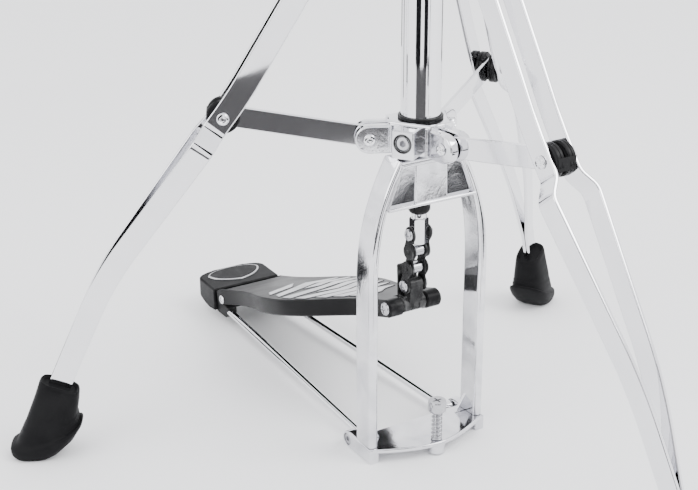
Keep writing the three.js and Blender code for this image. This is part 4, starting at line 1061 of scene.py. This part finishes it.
screw_head = [(2.2, 0), (4.4, 0), (4.4, 0.5), (4.0, 1.2), (3.0, 1.7), (1.2, 1.9), (0, 1.9)]
slots = crossed_slots((0.5, 2.6), (2.6, 0.5), 1.1, 1.1, 3)
head = weld("cross_head", [turned([(0, -0.2), (2.2, -0.2), *screw_head], 48)], slots)
head.data.transform(aimed((20.8, TOE_Y, TOE_Z), (1, 0, 0)))
axle = as_object("toe_axle", round_bar(2.5, (-19.5, TOE_Y, TOE_Z), (20.9, TOE_Y, TOE_Z), 32))
for obj in (head, axle):
    on_board(obj, "chrome", "toe_pin", "steel")
print("footboard:", len(deck.data.polygons), "faces")


# %% [markdown]
# The board's raised pattern is ground bright after coating, for grip. Here it is a fan of plain
# pointed ribs, each with a dark channel round it.

# %% Raised ribs
def rib(points, rise, grow=0.0):
    """A thin raised shard in the board's plan; grow pushes its outline outwards."""
    middle = Vector((sum(p[0] for p in points), sum(p[1] for p in points))) / len(points)
    shape = [tuple(Vector(p) + (Vector(p) - middle).normalized() * grow) for p in points]
    return moved(plate(shape, 1.2, edge=0.25, steps=2), (0, 0, 7.7 + rise))


SHARDS = [
    [(-4, 66), (27, 84), (32, 96), (6, 82)],
    [(-30, 92), (-8, 78), (12, 92), (31, 104), (35, 116), (10, 103), (-10, 91)],
    [(-34, 104), (-14, 93), (8, 106), (-4, 109), (-16, 103)],
    [(-36, 118), (-18, 107), (-2, 115), (36, 124), (36, 136), (4, 127), (-14, 120)],
    [(-35, 132), (-20, 123), (0, 133), (14, 137), (0, 143), (-18, 134)],
    [(-33, 146), (-18, 138), (2, 148), (35, 142), (33, 154), (2, 160), (-16, 150)],
    [(-29, 160), (-15, 153), (0, 163), (28, 160), (26, 172), (0, 174), (-14, 165)],
    [(-24, 176), (-12, 168), (0, 178), (22, 175), (20, 187), (0, 189), (-11, 180)],
    [(-18, 192), (-8, 184), (0, 193), (17, 190), (15, 202), (0, 204), (-8, 196)],
]
bright = as_object("ribs", joined(*[rib(s, 0.35) for s in SHARDS]))
on_board(bright, "steel", "footboard", "aluminium")
channels = as_object("rib_channels", joined(*[rib(s, 0.02 * i, 1.1) for i, s in enumerate(SHARDS)]))
on_board(channels, "black_plastic", "footboard")
print("ribs:", len(SHARDS))


# %% [markdown]
# ## Toe bracket and chain
# The bracket is blacked steel round the toe pin: a barrel, a tongue up to the last chain screw
# and a creased guard behind the chain. The chain is half-inch roller chain: waisted plates, pins
# pressed through, and bright rollers between them.

# %% Toe bracket
CHAIN_TOP, CHAIN_PITCH = Vector((0, 150.3)), 12.7
chain_line = (TOE_PIN - CHAIN_TOP).normalized()


def chain_pin(i):
    return CHAIN_TOP + chain_line * CHAIN_PITCH * i


end = chain_pin(3)
barrel_profile = [(2.6, -8.8), (4.8, -8.8), (5.4, -8.2), (5.4, -3.2), (5.0, -2.8), (5.0, -2.4), (5.4, -2.0)]
barrel_profile += [(5.4, 2.0), (5.0, 2.4), (5.0, 2.8), (5.4, 3.2), (5.4, 8.2), (4.8, 8.8), (2.6, 8.8),
    (2.6, -8.8)]
barrel = turned(barrel_profile, 64, at=(0, *TOE_PIN), axis=(1, 0, 0))
tang = plate(round_ended(TOE_PIN, end, 4.8, 16), 10.2, "YZ", edge=0.7)
guard_side = [(TOE_PIN.x - 5.9, TOE_PIN.y - 0.9), (TOE_PIN.x - 4.3, TOE_PIN.y + 1),
    (TOE_PIN.x - 4.6, TOE_PIN.y + 12)]
guard_side += [(end.x - 7.3, end.y + 12.6), (end.x - 8.3, end.y + 13), (end.x - 9.0, end.y + 12.2)]
guard_side.append((TOE_PIN.x - 6.3, TOE_PIN.y + 11))
guard = plate(guard_side, 15.2, "YZ", edge=0.55)
shelf_plan = [(x, TOE_PIN.x + y) for x, y in ((-7.5, -4), (7.5, -4), (7.5, 2), (-7.5, 2))]
shelf = moved(plate(shelf_plan, 3.4, edge=0.8), (0, 0, TOE_PIN.y + 4.7))
hanger = joined(barrel, tang, guard, shelf)
make("chain_hanger", hanger, "toe_link", "black_steel", "toe_bracket")


def link_plates(first, second, x):
    """Two waisted plates, one on each side of the rollers, from one pin to the next."""
    a, b = chain_pin(first), chain_pin(second)
    along = (b - a).normalized()
    across = Vector((-along.y, along.x))
    outline = []
    for centre, sign in ((a, -1), (b, 1)):
        sweep = [math.radians(-122 + 244 * i / 20) for i in range(21)]
        outline += [centre + (along * sign * math.cos(t) + across * sign * math.sin(t)) * 5.4 for t in sweep]
        middle = (a + b) / 2
        last = outline[-1]
        reach, width = (last - middle).dot(along), (last - middle).dot(across)
        opposite = middle - along * sign * reach + across * width
        waist = middle + across * width * 0.62
        outline += [last.lerp(waist, 0.55), waist, opposite.lerp(waist, 0.55)]
    outline = [tuple(p) for p in outline]
    return [moved(plate(outline, 1.4, "YZ", edge=0.35), (s * x, 0, 0)) for s in (-1, 1)]


def chain_bar(radius, i, half, edge=0.3):
    return turned(chamfered(radius, -half, half, edge), 32, at=(0, *chain_pin(i)), axis=(1, 0, 0))


DRUM = [(2.8, -3.5), (3.5, -3.5), (3.8, -3.2), (3.8, 3.2), (3.5, 3.5), (2.8, 3.5), (2.8, -3.5)]
PAN = [(0, 0), (4.0, 0), (4.0, 0.7), (3.7, 1.3), (2.8, 1.7), (1.2, 1.9), (0, 1.9)]
for name, first, second, x, pins in (
    ("upper", 0, 1, 6.5, [(1.6, 1, 7.6)]),
    ("inner", 1, 2, 4.6, [(2.5, 1, 4.6), (2.5, 2, 4.6)]),
    ("lower", 2, 3, 6.5, [(1.6, 2, 7.6)]),
):
    shapes = link_plates(first, second, x) + [chain_bar(r, i, half) for r, i, half in pins]
    make(f"link_{name}", joined(*shapes), "chain", "black_steel", f"chain_{name}_link")
for i, name in enumerate(("upper", "lower"), 1):
    drum = turned(DRUM, 48, at=(0, *chain_pin(i)), axis=(1, 0, 0))
    make(f"roller_drum_{name}", drum, f"roller_{name}", "chrome", f"chain_roller_{name}", "steel")
for name, i, body in (("top", 0, "rod"), ("bottom", 3, "chain")):
    pan = weld("pan", [turned(PAN, 40)], crossed_slots((0.45, 3), (2.2, 0.45), 1.1, 1.2, 3))
    pan.data.transform(aimed((7.5, *chain_pin(i)), (1, 0, 0)))
    nut_end = prism(6, 3.6, 1.7, top=3.3)
    nut_end.transform(aimed((-8.35, *chain_pin(i)), (-1, 0, 0)))
    bolt = joined(joined(pan), nut_end, chain_bar(2, i, 8, 0.2))
    make(f"chain_bolt_{name}", bolt, body, "chrome", f"chain_screw_{name}", "steel")
print("chain and bracket made")


# %% [markdown]
# ## Spur screw and springs
# The floor spur stops the pedal creeping, and a spring keeps it from working loose. Knurling is
# two crossing sets of ridges, so the head's rows go in and out by two crossing waves.

# %% Spur screw and coiled springs
def knurled(radius, low, high, ridges=18, depth=0.22, around=144, rows=18):
    rings = []
    for k in range(rows + 1):
        z = low + (high - low) * k / rows
        fade = min(1.0, min(k, rows - k) / 2)
        ring = []
        for i in range(around):
            a = 2 * math.pi * i / around
            twist = (z - low) * 0.62
            wave = abs(math.sin(ridges / 2 * a + twist)) * abs(math.sin(ridges / 2 * a - twist))
            r = radius - 0.45 * (1 - fade) - depth * (1 - wave) * fade
            ring.append((r * math.cos(a), r * math.sin(a), z))
        rings.append(ring)
    return skin(rings)


grip = weld(
    "grip", [knurled(6.2, 32, 39.4)],
    crossed_slots((3.2, 0.55), (0.55, 3.2), 37.4, 37.4, 41),
)
thread = [(0, 1), (2.0, 4.6), (2.5, 5.4)]
for i in range(22):
    z = 5.6 + i * 1.2
    thread += [(2.5, z), (2.2, z + 0.6)]
thread += [(2.5, 32.2), (0, 32.2)]
spur = moved(joined(joined(grip), turned(thread, 40)), (0, SPUR_Y, 0))
make("spur", spur, "spur", "steel", "spur_screw", angle=28)


def coiled(name, radius, wire, low, high, turns, at=(0, 0), steps=28, sides=10):
    """A wire carried round a helix, its two end turns ground flat."""
    rings = []
    count = int(turns * steps)
    around = [2 * math.pi * i / sides for i in range(sides)]
    for k in range(count + 1):
        t = k / count
        a = 2 * math.pi * turns * t
        eased = min(1.0, max(0.0, (t * turns - 0.75) / (turns - 1.5)))
        z = low + wire + (high - low - 2 * wire) * eased
        out = Vector((math.cos(a), math.sin(a), 0))
        centre = Vector((at[0], at[1], z)) + out * radius
        rings.append([centre + (out * math.cos(b) + UP * math.sin(b)) * wire for b in around])
    return as_object(name, skin(rings))


for name, radius, wire, low, high, turns, y, moving, cad in (
    ("spur_coil", 3.3, 0.5, 11.0, 31.7, 8, SPUR_Y, "spur_slider", "spur_spring"),
    ("return_coil", 7.4, 0.9, 184.3, 261.7, 11, 0, "rod", "return_spring"),
):
    spring = coiled(name, radius, wire, low, high, turns, (0, y))
    place(spring, None, "steel", [cad], angle=60)
    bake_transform(spring)
print("spur and springs made")


# %% [markdown]
# ## Sliding collar, clamp and wing bolts
# A sliding collar carries the tops of the legs, and a clamp holds the upper tube: both are
# turned castings with a boss for a wing bolt. The hot-stamped bolts are soft at every edge.

# %% Upper collar, clamp and three wing bolts
COLLAR_BOLT_Z, CLAMP_BOLT_Z, TILT_Z, CLUTCH_BOLT_Z = 370.5, 475, 691, 801


def side_boss(bore, radius, start, end, height, sides=56, edge=0.8, soft=0.7):
    """A ring pointing along x, its outer corner taken off."""
    profile = [(bore, start), (radius, start), (radius, end - edge), (radius - soft, end), (bore, end),
        (bore, start)]
    return turned(profile, sides, at=(0, 0, height), axis=(1, 0, 0))


def wing_bolt(name, shank, length, span, at, azimuth):
    half = [(2.6, 0), (2.6, 3.6)] + curve((2.6, 3.6), (6, 5), (6, span * 0.42), (10, span / 2), 14)
    half += curve((10, span / 2), (13, span / 2 + 1), (16.4, span * 0.34), (15, span * 0.26), 12)
    half += curve((15, span * 0.26), (13, span * 0.18), (12, 5), (12, 0), 12)
    lower = [(a, -b) for a, b in reversed(half[1:-1])]
    wings = plate(half + lower, 3.7, edge=1.3, steps=5)
    stem = [(0, -length), (shank - 0.4, -length), (shank, 0.4 - length), (shank, 0)]
    stem += [(6, 0), (6, 9.6), (5.4, 10.7), (4, 11), (0, 11)]
    bm = joined(wings, turned(stem, 48, axis=(1, 0, 0)))
    return as_object(name, moved(bm, at, azimuth))


upper_core = [(13.0, 357.6), (13.6, 357), (17.4, 357), (18.2, 357.9), (18.2, 360), (17.7, 360.6)]
upper_core += [(17.7, 380.4), (18.2, 381), (18.2, 383.1), (17.4, 384), (13.6, 384), (13.0, 383.4),
    (13.0, 357.6)]
rivet_end = [(0, 1.6), (1.2, 1.5), (1.7, 1.05), (2.3, 1.45), (3.3, 1.3), (4, 0.6), (4, 0), (0, 0)]
pivot_x, pivot_z = LEG_PIVOT
upper_parts = [turned(upper_core, 96)]
for azimuth in LEG_AZIMUTHS:
    for side in (-1, 1):
        fin = plate(round_ended((17, LEG_PIVOT.y), LEG_PIVOT, 8, 18), 4.6, "XZ", edge=1.0, steps=4)
        upper_parts.append(moved(moved(fin, (0, side * 4.7, 0)), turn=azimuth))
    middle = plate([(15.5, 364), (30, 364), (30, 378), (15.5, 378)], 5.2, "XZ", edge=0.6)
    upper_parts.append(moved(middle, turn=azimuth))
    ends = [turned(rivet_end, 40, at=(pivot_x, s * 10.3, pivot_z), axis=(0, s, 0)) for s in (-1, 1)]
    shaft = round_bar(2.5, (pivot_x, -10.4, pivot_z), (pivot_x, 10.4, pivot_z), 32)
    upper_parts.append(moved(joined(shaft, *ends), turn=azimuth))
upper_parts.append(moved(side_boss(3.4, 7.5, 16, 25, COLLAR_BOLT_Z), turn=BOSS_AZIMUTH))
slider = joined(*upper_parts)
make("sliding_collar", slider, "slide_collar", "cast_chrome", "upper_collar")

clamp_profile = [(13.0, 446.4), (13.4, 446), (16.2, 446), (18, 449), (18, 452.4), (17.4, 453.2)]
clamp_profile += [(17.4, 466.8), (18, 467.6), (18, 477), (15.3, 480), (10.4, 480), (9.8, 479.4),
    (9.8, 470.3), (13.0, 470.3), (13.0, 446.4)]
clamp_boss = side_boss(3.4, 8, 14, 27, CLAMP_BOLT_Z, soft=0.8)
clamp = joined(turned(clamp_profile, 96), moved(clamp_boss, turn=BOSS_AZIMUTH))
make("clamp", clamp, "base", "cast_chrome", "height_clamp")

for name, shank, length, span, at, azimuth, body, part in (
    ("collar_wing", 3, 11.5, 44, (25.3, 0, COLLAR_BOLT_Z), BOSS_AZIMUTH, "collar_bolt", "collar_wing_bolt"),
    ("height_wing", 3, 16.4, 48, (27.3, 0, CLAMP_BOLT_Z), BOSS_AZIMUTH, "height_bolt", "height_wing_bolt"),
    ("clutch_wing", 2.5, 9, 34, (13.3, 0, CLUTCH_BOLT_Z), 0, "clutch_screw", "clutch_wing_screw"),
):
    place(wing_bolt(name, shank, length, span, at, azimuth), body, "chrome", [part])
print("collar, clamp and wing bolts made")


# %% [markdown]
# ## Cymbal seat and clutch
# The lower cymbal rests on a felt in a shallow cup, tilted by a small screw. The upper one hangs
# on the clutch, a turned sleeve locked to the pull rod, between felts with soft edges.

# %% Seat and clutch
cup = [(6.4, 700), (8.8, 700), (22.6, 701.8), (23.8, 703.2), (24, 704.2), (23.4, 705.8), (22.9, 706)]
cup += [(22.4, 705.7), (19, 704), (6.4, 704), (6.4, 700)]
skirt = [(11, 684.5), (11.4, 684), (13, 684), (13.4, 684.5), (13.4, 701), (11, 701), (11, 684.5)]
tilt_boss = side_boss(2.4, 5, 12, 20, TILT_Z, 48, 0.6, 0.5)
seat = joined(turned(cup, 96), turned(skirt, 80), tilt_boss)
make("tilting_cup", seat, "seat", "cast_chrome", "seat_cup")
washer = [(6.6, 705), (7.3, 704.3), (16, 704.3), (17, 705.3), (17, 709.3), (15.8, 710.5)]
washer += [(7.5, 710.5), (6.6, 709.6), (6.6, 705)]
make("lower_felt", turned(washer, 80), "seat", "felt", "seat_felt")
tilter = joined(knurled(6.0, 20.4, 26, ridges=20, depth=0.25, rows=12), round_bar(2, (0, 0, 10.4),
    (0, 0, 21), 24))
tilter.transform(aimed((0, 0, TILT_Z), (1, 0, 0)))
make("tilt_thumb", tilter, "seat_screw", "chrome", "tilt_screw", "steel", angle=28)

sleeve = [(3.3, 748), (8.4, 748), (9, 748.6), (9, 752.4), (8.4, 753), (5.5, 753), (5.5, 782), (10.4, 782)]
sleeve += [(11, 782.7), (11, 787.4), (10.2, 788), (8.2, 788.6), (8, 789.2), (8, 809.2), (7.3, 810)]
sleeve += [(3.3, 810), (3.3, 748)]
clutch_boss = side_boss(2.8, 5, 6, 13, CLUTCH_BOLT_Z, 48, 0.5, 0.5)
make("clutch_sleeve", joined(turned(sleeve, 80), clutch_boss), "clutch", "chrome", "clutch_body")
pads = [(5.8, 753.3), (13.8, 753.3), (15, 754.5), (15, 764.6), (14, 765.9), (11.3, 766.8), (11, 767.5),
    (11.3, 768.2)]
pads += [(14, 769.1), (15, 770.4), (15, 780.5), (13.8, 781.7), (5.8, 781.7), (5.8, 753.3)]
make("upper_felts", turned(pads, 80), "clutch", "felt", "clutch_felts")
print("seat and clutch made")


# %% The visual box
low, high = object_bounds()
print("visual box", [round(v, 4) for v in low], [round(v, 4) for v in high])
